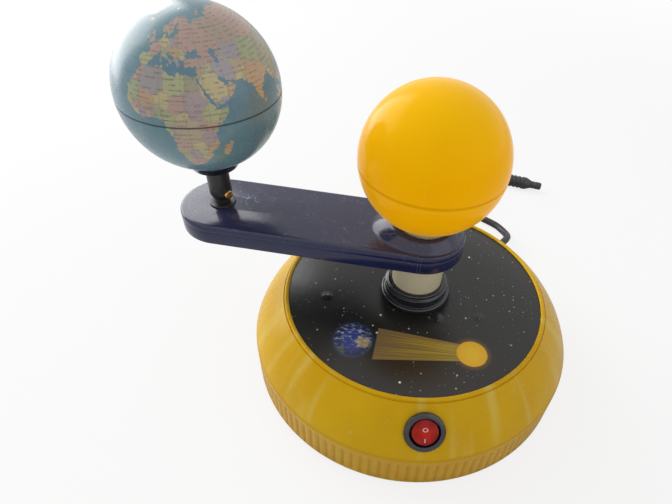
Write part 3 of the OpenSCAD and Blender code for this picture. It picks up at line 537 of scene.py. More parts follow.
@dataclass(frozen=True)
class SunGlaze:
    """The sun's orange-yellow plastic, with a painted lighter top, painted reflection streaks, a painted glow
    and a dark seam at its equator.
    """

    name: str = "sun_plastic"
    middle: Point = (0.0, 0.0, 0.1524)
    colour: Colour = (0.84, 0.40, 0.0)
    deep: Colour = (0.80, 0.355, 0.0)
    # bright is painted light on the upper half and in the reflection streaks; it also draws the thin lighter
    # line under the seam.
    bright: Colour = (0.84, 0.54, 0.01)
    seam_tone: Colour = (0.36, 0.14, 0.0)
    speck: Colour = (0.45, 0.2, 0.02)
    seam: float = -0.0022
    # Painted glow: how strongly the shell gives off light of its own colour.
    glow: float = 0.31

    def make(self) -> Material:
        """Return the material."""
        tree = Tree(self.name)
        at = tree.place() - self.middle
        x, y, z = at.parts()
        round_it = tree.math("ARCTAN2", y, x)
        cloud = tree.noise(at, 24.0, 3.0)
        streak = tree.noise(tree.join(round_it * 14.0, z * 24.0), 1.0, 3.0, 0.55)
        fine = tree.noise(at, 1300.0, 2.0)
        tone = tree.mix(cloud.ramp(0.3, 0.72), self.colour, self.deep)
        # Painted light: the upper half is lightened towards yellow.
        tone = tone.under(z.ramp(0.0, 0.04) * 0.5, self.bright)
        # Painted reflections: faint lighter streaks over the shell.
        tone = tone.under(streak.ramp(0.5, 0.78) * 0.15, self.bright)
        band = abs(z - self.seam + 0.0002).ramp(0.0014, 0.0004)
        tone = tone.under(band * 0.5, self.seam_tone)
        below = abs(z - self.seam + 0.0024).ramp(0.0012, 0.0003)
        tone = tone.under(below * 0.25, self.bright)
        specks = tree.noise(at, 620.0, 4.0, 0.7).ramp(0.7, 0.76)
        tone = tone.under(specks * 0.3, self.speck)
        lines = tree.scratches(at, (2.0, 1.0, 5.0), 50.0, 0.004) * tree.noise(at, 40.0).ramp(0.52, 0.64)
        rough = cloud * 0.06 + fine * 0.05 + band * 0.3 + lines * 0.15 + 0.12
        # The emission is a painted glow; no lamp is lit inside the shell.
        return tree.surface(tone, rough.cap(0.05), fine * 0.4 - band * 0.9 + streak * 0.3, 0.00003,
                            Specular_IOR_Level=0.1, Specular_Tint=(1.0, 0.88, 0.15),
                            Emission_Color=(*self.colour, 1.0), Emission_Strength=self.glow)


@dataclass(frozen=True)
class GlobePrint:
    """The glossy printed globe: sea, countries from the mesh's own colours, grid lines and a seam."""

    name: str = "globe_print"
    middle: Point = (-0.1215, 0.0, 0.1752)
    radius: float = 0.0405
    sea: Colour = (0.10, 0.25, 0.31)
    deep: Colour = (0.07, 0.19, 0.28)
    shoal: Colour = (0.2, 0.36, 0.38)
    shore: Colour = (0.15, 0.33, 0.36)
    worn: Colour = (0.40, 0.37, 0.31)
    lines: Colour = (0.03, 0.07, 0.1)
    names: Colour = (0.07, 0.06, 0.06)
    haze: Colour = (0.55, 0.56, 0.5)
    seam: Colour = (0.02, 0.03, 0.035)
    lift: float = 1.5
    grid: float = 15.0
    rows: float = 3.1

    def make(self) -> Material:
        """Return the material."""
        tree = Tree(self.name)
        at = tree.place() - self.middle
        x, y, z = at.parts()
        cloud = tree.noise(at, 26.0, 4.0)
        tone = tree.drift(cloud, self.sea, self.deep)
        node = tree.node("ShaderNodeAttribute", attribute_name="map")
        land = Val(tree, node.outputs["Alpha"])
        shore = land.ramp(0.02, 0.3)
        tone = tone.under(tree.noise(at, 90.0, 3.0).ramp(0.5, 0.75) * 0.35, self.shoal)
        worn = tree.noise(at, 380.0, 4.0, 0.7).ramp(0.42, 0.72) * 0.25 + 0.38
        print_tone = (Vec(tree, node.outputs["Color"]) * ((self.lift,) * 3)).under(worn, self.worn)
        lat = tree.math("ARCSINE", (z / self.radius).cap(-1.0, 1.0)) * (180.0 / math.pi)
        lon = tree.math("ARCTAN2", y, x) * (180.0 / math.pi)
        flat = tree.join(x, y).length() / self.radius
        across = abs((lon + self.grid / 2) % self.grid - self.grid / 2) * flat
        along = abs((lat + self.grid / 2) % self.grid - self.grid / 2)
        lines = (across.ramp(0.42, 0.18) + along.ramp(0.42, 0.18)).cap()
        tone = tone.under(shore * 0.5, self.shore).under(land.ramp(0.35, 0.65), print_tone)
        tone = tone.under(lines * 0.22, self.lines)
        row = tree.math("FLOOR", lat / self.rows)
        line = abs((lat / self.rows) % 1.0 - 0.5).ramp(0.22, 0.12)
        word = tree.noise(tree.join(lon * 0.16, row * 7.3, 2.0), 1.0, 1.0).ramp(0.47, 0.53)
        letter = tree.noise(tree.join(lon * 2.6, lat * 0.9, row), 1.0, 2.0).ramp(0.46, 0.54)
        names = line * word * letter * (land * 0.7 + 0.2)
        tone = tone.under(names * 0.85, self.names)
        tone = tone.under(0.1, self.haze)
        band = abs(z).ramp(0.0007, 0.00025)
        tone = tone.under(band * 0.75, self.seam)
        smudge = tree.noise(at, 60.0, 5.0, 0.7)
        fine = tree.noise(at, 1200.0, 2.0)
        rough = smudge * 0.16 + fine * 0.05 + band * 0.3 + 0.16
        return tree.surface(tone, rough.cap(0.06), fine * 0.3 - band + smudge * 0.2, 0.00003, coat=0.1,
                            Coat_Roughness=0.15)


@dataclass(frozen=True)
class ArmSkin:
    """The arm's dark blue plastic, with a painted reflection on its top, two mould lines, arc scratches, dust
    and rubbed specks.
    """

    name: str = "arm_moulding"
    colour: Colour = (0.009, 0.014, 0.068)
    drift: Colour = (0.014, 0.019, 0.085)
    mark: Colour = (0.26, 0.42, 0.56)
    # Painted reflection: the grey-violet sheen laid on the flat top.
    top_sheen: Colour = (0.045, 0.043, 0.085)
    speck: Colour = (0.35, 0.42, 0.5)
    scratch: Colour = (0.28, 0.3, 0.38)
    mould_tone: Colour = (0.1, 0.11, 0.16)
    dust: Colour = (0.5, 0.5, 0.52)
    top: float = 0.1056
    stem: Spot = (-0.1215, 0.0)
    rub: Spot = (-0.1064, 0.0048)

    def make(self) -> Material:
        """Return the material."""
        tree = Tree(self.name)
        at = tree.place()
        x, y, z = at.parts()
        cloud = tree.noise(at, 30.0, 3.0)
        fine = tree.noise(at, 1000.0, 2.0)
        tone = tree.drift(cloud, self.colour, self.drift)
        flat = z.ramp(self.top - 0.0012, self.top - 0.0004)
        # Painted reflection: the flat top is lightened grey-violet.
        tone = tone.under(flat * 0.5, self.top_sheen)
        near = tree.join(x - self.stem[0], y - self.stem[1])
        out = near.length()
        arcs = abs((out * 1000.0) % 2.3 - 1.15).ramp(0.16, 0.05) * out.ramp(0.0115, 0.0125)
        leftward = (near * (-0.95, -0.3, 0.0)).parts()
        facing = ((leftward[0] + leftward[1]) / out).ramp(0.35, 0.75)
        arcs = arcs * out.ramp(0.0225, 0.021) * tree.noise(near, 110.0, 2.0).ramp(0.46, 0.56) * facing * flat
        tone = tone.under(arcs * 0.85, self.mark)
        rub = tree.join(x - self.rub[0], y - self.rub[1]).length().ramp(0.007, 0.003)
        rub = rub * tree.scratches(at, (1.0, 0.35, 1.0), 420.0, 0.03) * flat
        tone = tone.under(rub * 0.85, self.mark)
        specks = tree.noise(at, 900.0, 3.0, 0.7).ramp(0.64, 0.7) * out.ramp(0.026, 0.009) * flat
        tone = tone.under(specks * 0.7, self.speck)
        lines = tree.scratches(at, (1.0, 6.0, 1.0), 75.0, 0.006) * tree.noise(at, 55.0).ramp(0.5, 0.6)
        tone = tone.under(lines * 0.25, self.scratch)
        mould = abs(x + 0.0005).ramp(0.0003, 0.0001) + abs(x - 0.0012).ramp(0.0003, 0.0001)
        tone = tone.under(mould.cap() * (1.0 - flat) * 0.5, self.mould_tone)
        dust = tree.noise(at, 260.0, 5.0, 0.7).ramp(0.56, 0.78) * flat
        tone = tone.under(dust * 0.16, self.dust)
        rough = cloud * 0.08 + fine * 0.03 + lines * 0.2 + dust * 0.2 + arcs * 0.2 + 0.1
        return tree.surface(tone, rough.cap(0.06), fine * 0.4 - lines * 0.7 + mould * 0.5, 0.00002)


@dataclass(frozen=True)
class NeckTone:
    """The cream of the neck and tube, with painted shade that turns it teal-grey towards its upper rim, under
    the sun.
    """

    name: str
    colour: Colour = (0.76, 0.68, 0.47)
    drift: Colour = (0.68, 0.60, 0.40)
    # Painted shade: the teal-grey tone laid on the rim under the sun.
    teal: Colour = (0.16, 0.3, 0.28)
    rubbed: Colour = (0.28, 0.24, 0.18)
    rim: float = 0.1156
    rim_shade: float = 0.0

    def make(self) -> Material:
        """Return the material."""
        tree = Tree(self.name)
        at = tree.place()
        _, _, z = at.parts()
        cloud = tree.noise(at, 34.0, 3.0)
        fine = tree.noise(at, 1000.0, 2.0)
        rub = tree.scratches(at, (1.0, 1.0, 9.0), 60.0, 0.02) * tree.noise(at, 50.0).ramp(0.45, 0.6)
        tone = tree.drift(cloud, self.colour, self.drift)
        # Painted shade on the upper rim, under the sun's shell.
        tone = tone.under(z.ramp(self.rim - 0.005, self.rim) * self.rim_shade, self.teal)
        tone = tone.under(rub * 0.3, self.rubbed)
        rough = cloud * 0.1 + fine * 0.05 + rub * 0.15 + 0.25
        return tree.surface(tone, rough, fine - rub * 0.4, 0.00003)


@dataclass(frozen=True)
class RedKey:
    """The rocker's translucent red plastic, darker towards its sides."""

    name: str = "red_key"
    middle: Point = (0.01653, -0.09377, 0.0432)
    bright: Colour = (0.74, 0.014, 0.006)
    dark: Colour = (0.3, 0.004, 0.003)
    lit: Colour = (0.8, 0.05, 0.015)

    def make(self) -> Material:
        """Return the material."""
        tree = Tree(self.name)
        at = tree.place()
        out = (at - self.middle).length()
        cloud = tree.noise(at, 240.0, 3.0)
        fine = tree.noise(at, 1500.0, 2.0)
        tone = tree.mix(out.ramp(0.001, 0.0078), self.bright, self.dark)
        tone = tone.under(cloud.ramp(0.4, 0.75) * 0.3, self.lit)
        rough = cloud * 0.1 + fine * 0.05 + 0.12
        return tree.surface(tone, rough, fine, 0.00002, Transmission_Weight=0.1, Specular_IOR_Level=0.18)


GLOSS_BLACK = Plastic("gloss_black", (0.011, 0.012, 0.015), (0.019, 0.021, 0.027), 0.18, scratched=0.6,
                      dust=0.06, coat=0.2)
SATIN_BLACK = Plastic("satin_black", (0.014, 0.0142, 0.015), (0.024, 0.024, 0.026), 0.32, scratched=0.7,
                      dust=0.12)
MARK_WHITE = Plastic("mark_white", (0.85, 0.83, 0.8), (0.76, 0.72, 0.68), 0.4, dust=0.2)


@dataclass(frozen=True)
class Lamp:
    """One rectangular lamp: its name, its place and size in metres, and its power in watts."""

    name: str
    place: Point
    size: Spot
    power: float

    def hang(self, target: Point) -> None:
        """Hang the lamp.

        Args:
            target: The place that it faces.
        """
        bpy.ops.object.light_add(type="AREA", location=self.place)
        lamp = bpy.context.object
        lamp.name = self.name
        lamp.data.shape = "RECTANGLE"
        lamp.data.size, lamp.data.size_y = self.size
        lamp.data.energy = self.power
        aim = Vector(target) - Vector(self.place)
        lamp.rotation_euler = aim.to_track_quat("-Z", "Y").to_euler()


@dataclass
class Stage:
    """The floor, the lamps, the world and the camera."""

    floor_size: float = 6.0
    floor_tones: tuple[Colour, Colour] = ((0.9, 0.9, 0.9), (0.88, 0.88, 0.88))
    floor_lift: float = 0.8
    lift_full_from: Spot = (0.4, 1.3)
    ambient: float = 0.41
    lamps: Sequence[Lamp] = (Lamp("key", (-1.15, 0.62, 0.5), (1.3, 1.5), 22.0),
                             Lamp("fill", (1.0, -0.5, 0.8), (1.2, 1.2), 2.2),
                             Lamp("top", (0.0, 0.1, 1.5), (2.4, 2.0), 3.0))
    lamp_target: Point = (0.0, 0.0, 0.08)
    camera_place: Point = (0.0, -0.23288, 0.29272)
    camera_turn: Point = (45.057, -3.199, 8.774)
    focal_px: float = 507.08
    axis_px: Spot = (380.95, 279.05)
    sensor: float = 36.0
    clip_start: float = 0.01

    def build(self) -> None:
        """Make the camera, the floor, the lamps and the world."""
        self.camera()
        self.floor()
        for lamp in self.lamps:
            lamp.hang(self.lamp_target)
        self.world()
        bpy.context.scene.view_settings.view_transform = "Standard"

    def camera(self) -> None:
        """Put the camera where the photograph was taken from, with its optical axis off the middle."""
        bpy.ops.object.camera_add(location=self.camera_place,
                                  rotation=[math.radians(angle) for angle in self.camera_turn])
        camera = bpy.context.object
        camera.name = "camera"
        wide, high = PHOTO_SIZE
        camera.data.sensor_width = self.sensor
        camera.data.lens = self.focal_px / wide * self.sensor
        camera.data.shift_x = (wide / 2 - self.axis_px[0]) / wide
        camera.data.shift_y = (self.axis_px[1] - high / 2) / wide
        camera.data.clip_start = self.clip_start
        bpy.context.scene.camera = camera

    def floor(self) -> None:
        """Lay a pale floor that keeps the object's shadow and looks nearly white to the camera."""
        bpy.ops.mesh.primitive_plane_add(size=self.floor_size)
        floor = bpy.context.object
        floor.name = "floor"
        tree = Tree("pale_floor")
        tone = tree.mix(tree.noise(tree.place(), 3.0), *self.floor_tones)
        tree.surface(tone, 0.95, Specular_IOR_Level=0.1)
        glow = tree.node("ShaderNodeEmission", {"Color": (1.0, 1.0, 1.0), "Strength": 1.0})
        seen = tree.node("ShaderNodeLightPath").outputs
        far = tree.place().length().ramp(*self.lift_full_from)
        share = Val(tree, seen["Is Camera Ray"]) * (far * (1.0 - self.floor_lift) + self.floor_lift)
        both = tree.node("ShaderNodeMixShader", {0: share})
        tree.links.new(tree.shader.outputs[0], both.inputs[1])
        tree.links.new(glow.outputs[0], both.inputs[2])
        tree.links.new(both.outputs[0], tree.output.inputs["Surface"])
        floor.data.materials.append(tree.material)

    def world(self) -> None:
        """Light the scene evenly, and show white behind it."""
        world = bpy.data.worlds.new("studio")
        bpy.context.scene.world = world
        tree = Nodes(world)
        rays = tree.node("ShaderNodeLightPath").outputs
        seen = Val(tree, rays["Is Camera Ray"])
        for ray in ("Is Glossy Ray", "Is Transmission Ray"):
            seen = tree.math("MAXIMUM", seen, Val(tree, rays[ray]))
        back = tree.node("ShaderNodeBackground", {"Color": (1.0, 1.0, 1.0),
                                                  "Strength": seen * (1.0 - self.ambient) + self.ambient})
        output = tree.node("ShaderNodeOutputWorld")
        tree.links.new(back.outputs[0], output.inputs["Surface"])


def rounded(outline: Sequence[Sequence[float]], steps: int = 5, loop: bool = True) -> Line:
    """Round the corners of an outline.

    Args:
        outline: Corners, each two numbers, with the radius of its rounding as a third where it has one.
        steps: Steps in each rounding.
        loop: Whether the last corner joins the first.

    Returns:
        The outline's points.
    """
    points = []
    for number, corner in enumerate(outline):
        here = Vector(corner[:2])
        if len(corner) < 3 or (not loop and number in (0, len(outline) - 1)):
            points.append((here.x, here.y))
            continue
        before = Vector(outline[number - 1][:2]) - here
        after = Vector(outline[(number + 1) % len(outline)][:2]) - here
        half = before.angle(after) / 2
        reach = min(corner[2] / math.tan(half), before.length * 0.49, after.length * 0.49)
        radius = reach * math.tan(half)
        centre = here + (before.normalized() + after.normalized()).normalized() * radius / math.sin(half)
        start = here + before.normalized() * reach - centre
        end = here + after.normalized() * reach - centre
        first = math.atan2(start.y, start.x)
        turn = (math.atan2(end.y, end.x) - first + math.pi) % (2 * math.pi) - math.pi
        points += [(centre.x + radius * math.cos(first + turn * step / steps),
                    centre.y + radius * math.sin(first + turn * step / steps)) for step in range(steps + 1)]
    return points


def arc(radius: float, start: float, end: float, steps: int, height: float = 0.0) -> Line:
    """Return points on an arc about the axis, from one angle above the level to another, in degrees."""
    angles = [math.radians(start + (end - start) * step / steps) for step in range(steps + 1)]
    return [(radius * math.cos(angle), height + radius * math.sin(angle)) for angle in angles]


def lying(spot: Point, turn: float) -> Matrix:
    """Return the place of a turned piece that lies down and points outwards.

    Args:
        spot: Where its foot is, in mm.
        turn: The way it points, in degrees from +X.

    Returns:
        The place.
    """
    heading = Matrix.Rotation(math.radians(turn), 4, "Z")
    return Matrix.Translation(spot) @ heading @ Matrix.Rotation(math.pi / 2, 4, "Y")


class Bench:
    """Hand work on one mesh at a time. Lengths are in millimetres."""

    @staticmethod
    def mode(name: str) -> None:
        """Go to edit mode or object mode."""
        bpy.ops.object.mode_set(mode=name)

    @staticmethod
    def clear() -> None:
        """Leave edit mode and deselect everything."""
        if bpy.context.object and bpy.context.object.mode != "OBJECT":
            Bench.mode("OBJECT")
        bpy.ops.object.select_all(action="DESELECT")

    @staticmethod
    def hold(piece: Thing) -> None:
        """Make one piece the selected and active one."""
        Bench.clear()
        piece.select_set(True)
        bpy.context.view_layer.objects.active = piece

    @staticmethod
    def settle(piece: Thing) -> Thing:
        """Put a piece's place, turn and size into its mesh."""
        Bench.hold(piece)
        bpy.ops.object.transform_apply(location=True, rotation=True, scale=True)
        return piece

    @staticmethod
    def block(size: Point, middle: Point = ORIGIN) -> Thing:
        """Make a block to shape or to cut with.

        Args:
            size: Its size along each axis.
            middle: Where its middle is.

        Returns:
            The block.
        """
        Bench.clear()
        bpy.ops.mesh.primitive_cube_add(size=MM, location=mm(*middle))
        block = bpy.context.object
        block.scale = size
        return Bench.settle(block)

    @staticmethod
    def turned(profile: Line, steps: int = 96, sweep: float = 360.0, phase: float = 0.0,
               closed: bool = True, mend: bool = True) -> Thing:
        """Turn a profile round the upright axis through the origin.

        Args:
            profile: Points of radius and height.
            steps: Steps in the turn.
            sweep: Angle of the turn in degrees.
            phase: Angle that the turn starts at.
            closed: Whether the profile is a ring, and not a line from pole to pole.
            mend: Whether doubles are merged and faces turned outwards at once.

        Returns:
            The turned piece.
        """
        Bench.clear()
        angle = math.radians(phase)
        away = Vector((math.cos(angle), math.sin(angle), 0.0)) * MM
        spots = [away * out + Vector((0.0, 0.0, up * MM)) for out, up in profile]
        bpy.ops.mesh.primitive_plane_add(size=MM, location=spots[0])
        piece = bpy.context.object
        bpy.ops.object.transform_apply(location=True, rotation=True, scale=True)
        Bench.mode("EDIT")
        bpy.ops.mesh.select_mode(type="VERT")
        bpy.ops.mesh.select_all(action="SELECT")
        bpy.ops.mesh.merge(type="CENTER")
        for here, there in zip(spots, spots[1:] + spots[:1] if closed else spots[1:]):
            bpy.ops.mesh.extrude_vertices_move(TRANSFORM_OT_translate={"value": there - here})
        bpy.ops.mesh.select_all(action="SELECT")
        bpy.ops.mesh.remove_doubles(threshold=1e-7)
        bpy.ops.mesh.spin(steps=steps, angle=math.radians(sweep), center=ORIGIN, axis=UPRIGHT)
        if mend:
            Bench.mend()
        else:
            Bench.mode("OBJECT")
        return piece

    @staticmethod
    def repeat(piece: Thing, parts: int) -> None:
        """Copy a sector of a turned piece round until the turn is full, and merge the copies.

        Args:
            piece: The sector.
            parts: How many sectors fill the turn.
        """
        Bench.hold(piece)
        Bench.mode("EDIT")
        bpy.ops.mesh.select_all(action="SELECT")
        bpy.ops.mesh.spin(steps=parts - 1, dupli=True, angle=math.radians(360.0 * (parts - 1) / parts),
                          center=ORIGIN, axis=UPRIGHT)
        Bench.mend()

    @staticmethod
    def rod(radius: float, low: float, high: float, at: Spot = (0.0, 0.0), steps: int = 96) -> Thing:
        """Return an upright round cutter."""
        profile = [(0.0, low), (radius, low), (radius, high), (0.0, high)]
        return Bench.seat(Bench.turned(profile, steps, closed=False), Matrix.Translation((*at, 0.0)))

    @staticmethod
    def mend() -> None:
        """Merge the doubles of the mesh in hand and turn its faces outwards."""
        if bpy.context.object.mode != "EDIT":
            Bench.mode("EDIT")
        bpy.ops.mesh.select_all(action="SELECT")
        bpy.ops.mesh.remove_doubles(threshold=1e-6)
        bpy.ops.mesh.delete_loose()
        bpy.ops.mesh.select_all(action="SELECT")
        bpy.ops.mesh.normals_make_consistent(inside=False)
        Bench.mode("OBJECT")

    @staticmethod
    def pick(piece: Thing, wanted: Callable[[Vector], bool], edges: bool = False) -> None:
        """Select a piece's vertices or edges by their middle, in mm, and stay in edit mode.

        Args:
            piece: The piece.
            wanted: Says of a place whether it is wanted.
            edges: Whether edges are selected.
        """
        Bench.hold(piece)
        mesh = piece.data
        Bench.mode("EDIT")
        bpy.ops.mesh.select_mode(type="EDGE" if edges else "VERT")
        bpy.ops.mesh.select_all(action="DESELECT")
        Bench.mode("OBJECT")
        items, middles = mesh.vertices, [vertex.co / MM for vertex in mesh.vertices]
        if edges:
            items = mesh.edges
            middles = [sum((middles[corner] for corner in edge.vertices), Vector()) / 2 for edge in items]
        for item, middle in zip(items, middles):
            if wanted(middle):
                item.select = True
        Bench.mode("EDIT")

    @staticmethod
    def shift(piece: Thing, wanted: Callable[[Vector], bool], by: Point) -> None:
        """Move the wanted vertices.

        Args:
            piece: The piece.
            wanted: Says of a place whether it is wanted.
            by: The distance along each axis.
        """
        Bench.pick(piece, wanted)
        bpy.ops.transform.translate(value=mm(*by))
        Bench.mode("OBJECT")

    @staticmethod
    def squeeze(piece: Thing, wanted: Callable[[Vector], bool], size: Point) -> None:
        """Scale the wanted vertices about the origin.

        Args:
            piece: The piece.
            wanted: Says of a place whether it is wanted.
            size: The scale along each axis.
        """
        Bench.pick(piece, wanted)
        bpy.ops.transform.resize(value=size, center_override=ORIGIN)
        Bench.mode("OBJECT")

    @staticmethod
    def seat(piece: Thing, place: Matrix) -> Thing:
        """Set a piece at its place, in mm, and put the place into its mesh."""
        Bench.hold(piece)
        piece.matrix_world = Matrix.Scale(MM, 4) @ place @ Matrix.Scale(1 / MM, 4) @ piece.matrix_world
        return Bench.settle(piece)

    @staticmethod
    def combine(piece: Thing, tool: Thing, way: str = "DIFFERENCE") -> None:
        """Cut a tool out of a piece, or weld it on, and put the tool away.

        Args:
            piece: The piece.
            tool: The tool.
            way: DIFFERENCE to cut, UNION to weld.
        """
        Bench.hold(piece)
        change = piece.modifiers.new("shape", "BOOLEAN")
        change.operation = way
        change.solver = "EXACT"
        change.object = tool
        bpy.ops.object.modifier_apply(modifier=change.name)
        bpy.data.objects.remove(tool)

    @staticmethod
    def soften(piece: Thing, wanted: Callable[[Vector], bool], width: float, segments: int) -> None:
        """Round the wanted edges.

        Args:
            piece: The piece.
            wanted: Says of an edge's middle whether it is wanted.
            width: Width of the rounding.
            segments: Steps in the rounding.
        """
        Bench.pick(piece, wanted, True)
        bpy.ops.mesh.bevel(offset=width * MM, segments=segments)
        Bench.mode("OBJECT")

    @staticmethod
    def join(first: Thing, *others: Thing) -> Thing:
        """Make several loose shapes one piece.

        Args:
            first: The shape that the others join.
            others: The others.

        Returns:
            The piece.
        """
        Bench.hold(first)
        for other in others:
            other.select_set(True)
        bpy.ops.object.join()
        return first

    @staticmethod
    def copies(piece: Thing, places: Iterable[Matrix]) -> list[Thing]:
        """Copy a piece to each place, each with its own mesh, and put the pattern away.

        Args:
            piece: The pattern.
            places: Where the copies go.

        Returns:
            The copies.
        """
        made = []
        for place in places:
            Bench.hold(piece)
            bpy.ops.object.duplicate(linked=False)
            made.append(Bench.seat(bpy.context.object, place))
        bpy.data.objects.remove(piece)
        return made

    @staticmethod
    def deliver(piece: Thing, name: str, body: Body, slot: str, finish: Finish,
                *replaced: str, smooth: float = 32.0) -> Thing:
        """Name, smooth, dress and mount a finished piece.

        Args:
            piece: The piece.
            name: Its name.
            body: The body it rides on.
            slot: The record's material slot; not used.
            finish: Its finish.
            replaced: The frame's nodes that it stands for.
            smooth: The widest angle in degrees that is shaded smooth.

        Returns:
            The piece.
        """
        Bench.hold(piece)
        piece.name = name
        piece.data.name = name
        bpy.ops.object.shade_smooth_by_angle(angle=math.radians(smooth))
        piece.data.materials.clear()
        piece.data.materials.append(finish.make())
        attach(piece, body.value)
        if replaced:
            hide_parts(*replaced)
        LOG.info("%s: %d faces on %s", name, len(piece.data.polygons), body.value)
        return piece


@dataclass
class Base:
    """The yellow shell with its fluted band, and the star film on top."""

    radius: float = 104.7
    top: float = 55.0
    film_radius: float = 81.5
    film_thick: float = 0.3
    lip_width: float = 4.8
    lip_height: float = 1.1
    bead: float = 2.6
    bead_swell: float = 1.1
    knee: float = 26.0
    bulge: float = 1.2
    wall: float = 2.4
    top_thick: float = 3.3
    skirt_gap: float = 1.5
    flutes: int = 120
    flute_depth: float = 0.55
    flute_steps: int = 6
    flute_fade: float = 3.5
    flute_ends: Point = (2.0, 2.0, 2.5)
    flute_presses: Sequence[Spot] = ((1.5, 0.6), (0.5, 0.4))
    band_levels: Sequence[float] = (2.6, 3.6, 5.0, 9.0, 14.0, 18.0, 20.0, 21.5, 22.5, 23.3)
    knee_bend: float = 3.0
    groove: float = 0.3
    cone_steps: int = 12
    hole: float = 18.45
    switch_share: float = 0.57
    screw_bumps: Sequence[Spot] = ((-54.85, -17.24), (-40.34, 40.98), (42.73, -16.31), (16.27, -21.69))
    bump_radius: float = 3.8
    bump_height: float = 0.7

    def lean(self, rim: float) -> float:
        """Return the angle from upright of a cone that ends at a rim of a radius, in radians."""
        return math.atan2(self.radius - rim, self.top - self.knee)

    @property
    def slope(self) -> float:
        """Angle from upright of the cone that ends at the CAD's lip, in radians."""
        return self.lean(self.film_radius + self.lip_width)

    def cone(self, share: float, seen: bool = False) -> Spot:
        """Return a point on the cone's bulging line.

        Args:
            share: How far the point is from knee to lip, from 0 to 1.
            seen: Whether the line runs on to the narrow bead that shows.

        Returns:
            The point's radius and height.
        """
        rim = self.film_radius + (self.bead if seen else self.lip_width)
        slope = self.lean(rim)
        swell = (self.bulge + self.bead_swell * seen) * 4 * share * (1 - share)
        return (self.radius - (self.radius - rim) * share + swell * math.cos(slope),
                self.knee + (self.top - self.knee) * share + swell * math.sin(slope))

    def outline(self) -> Line:
        """Return the shell's closed profile, from the skirt's foot over the lip and back inside."""
        groove = self.groove
        rim = self.film_radius + self.bead
        band = [(self.radius, self.skirt_gap, 0.4), *((self.radius, level) for level in self.band_levels),
                (self.radius, self.knee, self.knee_bend)]
        cone = [self.cone(step / self.cone_steps, True) for step in range(1, self.cone_steps)]
        foot = [(rim + groove + 0.45, self.top - groove - 0.2), (rim + groove, self.top - groove - 0.6),
                (rim, self.top - groove)]
        middle = self.film_radius + self.bead / 2
        turns = [math.radians(angle) for angle in range(0, 181, 15)]
        lip = [(middle + (self.bead / 2) * math.cos(turn), self.top + self.lip_height * math.sin(turn) ** 0.8)
               for turn in turns]
        under = self.top - self.film_thick
        inside = self.radius - self.flute_depth - self.wall
        back = [(self.film_radius, under), (self.hole, under, 0.3), (self.hole, self.top - self.top_thick),
                (self.film_radius - 3, self.top - self.top_thick), (inside, self.knee - 2, self.knee_bend),
                (inside, self.skirt_gap)]
        return rounded(band + cone + foot + lip + back)

    def shell(self) -> Thing:
        """Turn one flute's sector of the shell, press its groove, and repeat it all round.

        Returns:
            The shell, without the switch's hole.
        """
        pitch = 360.0 / self.flutes
        piece = Bench.turned(self.outline(), self.flute_steps, pitch, -pitch / 2, mend=False)
        step = math.radians(pitch / self.flute_steps)
        places = [vertex.co / MM for vertex in piece.data.vertices]
        turns = [math.atan2(at.y, at.x) for at in places]
        middle = (min(turns) + max(turns)) / 2
        levels = sorted({round(at.z, 3) for at in places
                         if at.xy.length > self.radius - 0.5 and at.z < self.knee - 0.5})
        for level in levels:
            upper, lower, foot_fade = self.flute_ends
            fade = min(1.0, max(0.0, (self.knee - upper - level) / self.flute_fade),
                       max(0.0, (level - lower) / foot_fade))
            for reach, share in self.flute_presses:
                size = 1.0 - self.flute_depth * share * math.sin(fade * math.pi / 2) / self.radius
                Bench.squeeze(piece, lambda at: abs(at.z - level) < 0.01 and at.xy.length > self.radius - 0.9
                              and abs(math.atan2(at.y, at.x) - middle) < reach * step, (size, size, 1.0))
        Bench.repeat(piece, self.flutes)
        return piece

    def film(self) -> Thing:
        """Make the star film, raised in smooth bumps over the four screw heads."""
        low, high = self.top - self.film_thick, self.top
        edge = [(self.hole, low), (self.film_radius - 0.12, low), (self.film_radius - 0.12, high, 0.08),
                (self.hole, high, 0.1)]
        disc = Bench.turned(rounded(edge, 2), 192)
        reach, steps = self.bump_radius * 1.25, 8
        wave = [(reach * step / steps, math.cos(math.pi * step / steps) / 2 + 0.5)
                for step in range(steps + 1)]
        bump = Bench.turned([*((out, high + self.bump_height * up - 0.002) for out, up in wave),
                             (reach, high - 0.2), (0.0, high - 0.2)], 40, closed=False)
        bumps = Bench.copies(bump, [Matrix.Translation((x, y, 0.0)) for x, y in self.screw_bumps])
        return Bench.join(disc, *bumps)

    def build(self, switch: "Switch") -> None:
        """Make the base's pieces.

        Args:
            switch: The switch, whose hole is cut in the shell.
        """
        shell = self.shell()
        Bench.combine(shell, switch.hole())
        Bench.deliver(shell, "base_shell_moulded", Body.BASE, "yellow_abs", YellowShell(), "base_shell")
        Bench.deliver(self.film(), "star_film_printed", Body.BASE, "star_print", StarPrint(), "star_film",
                      smooth=50.0)


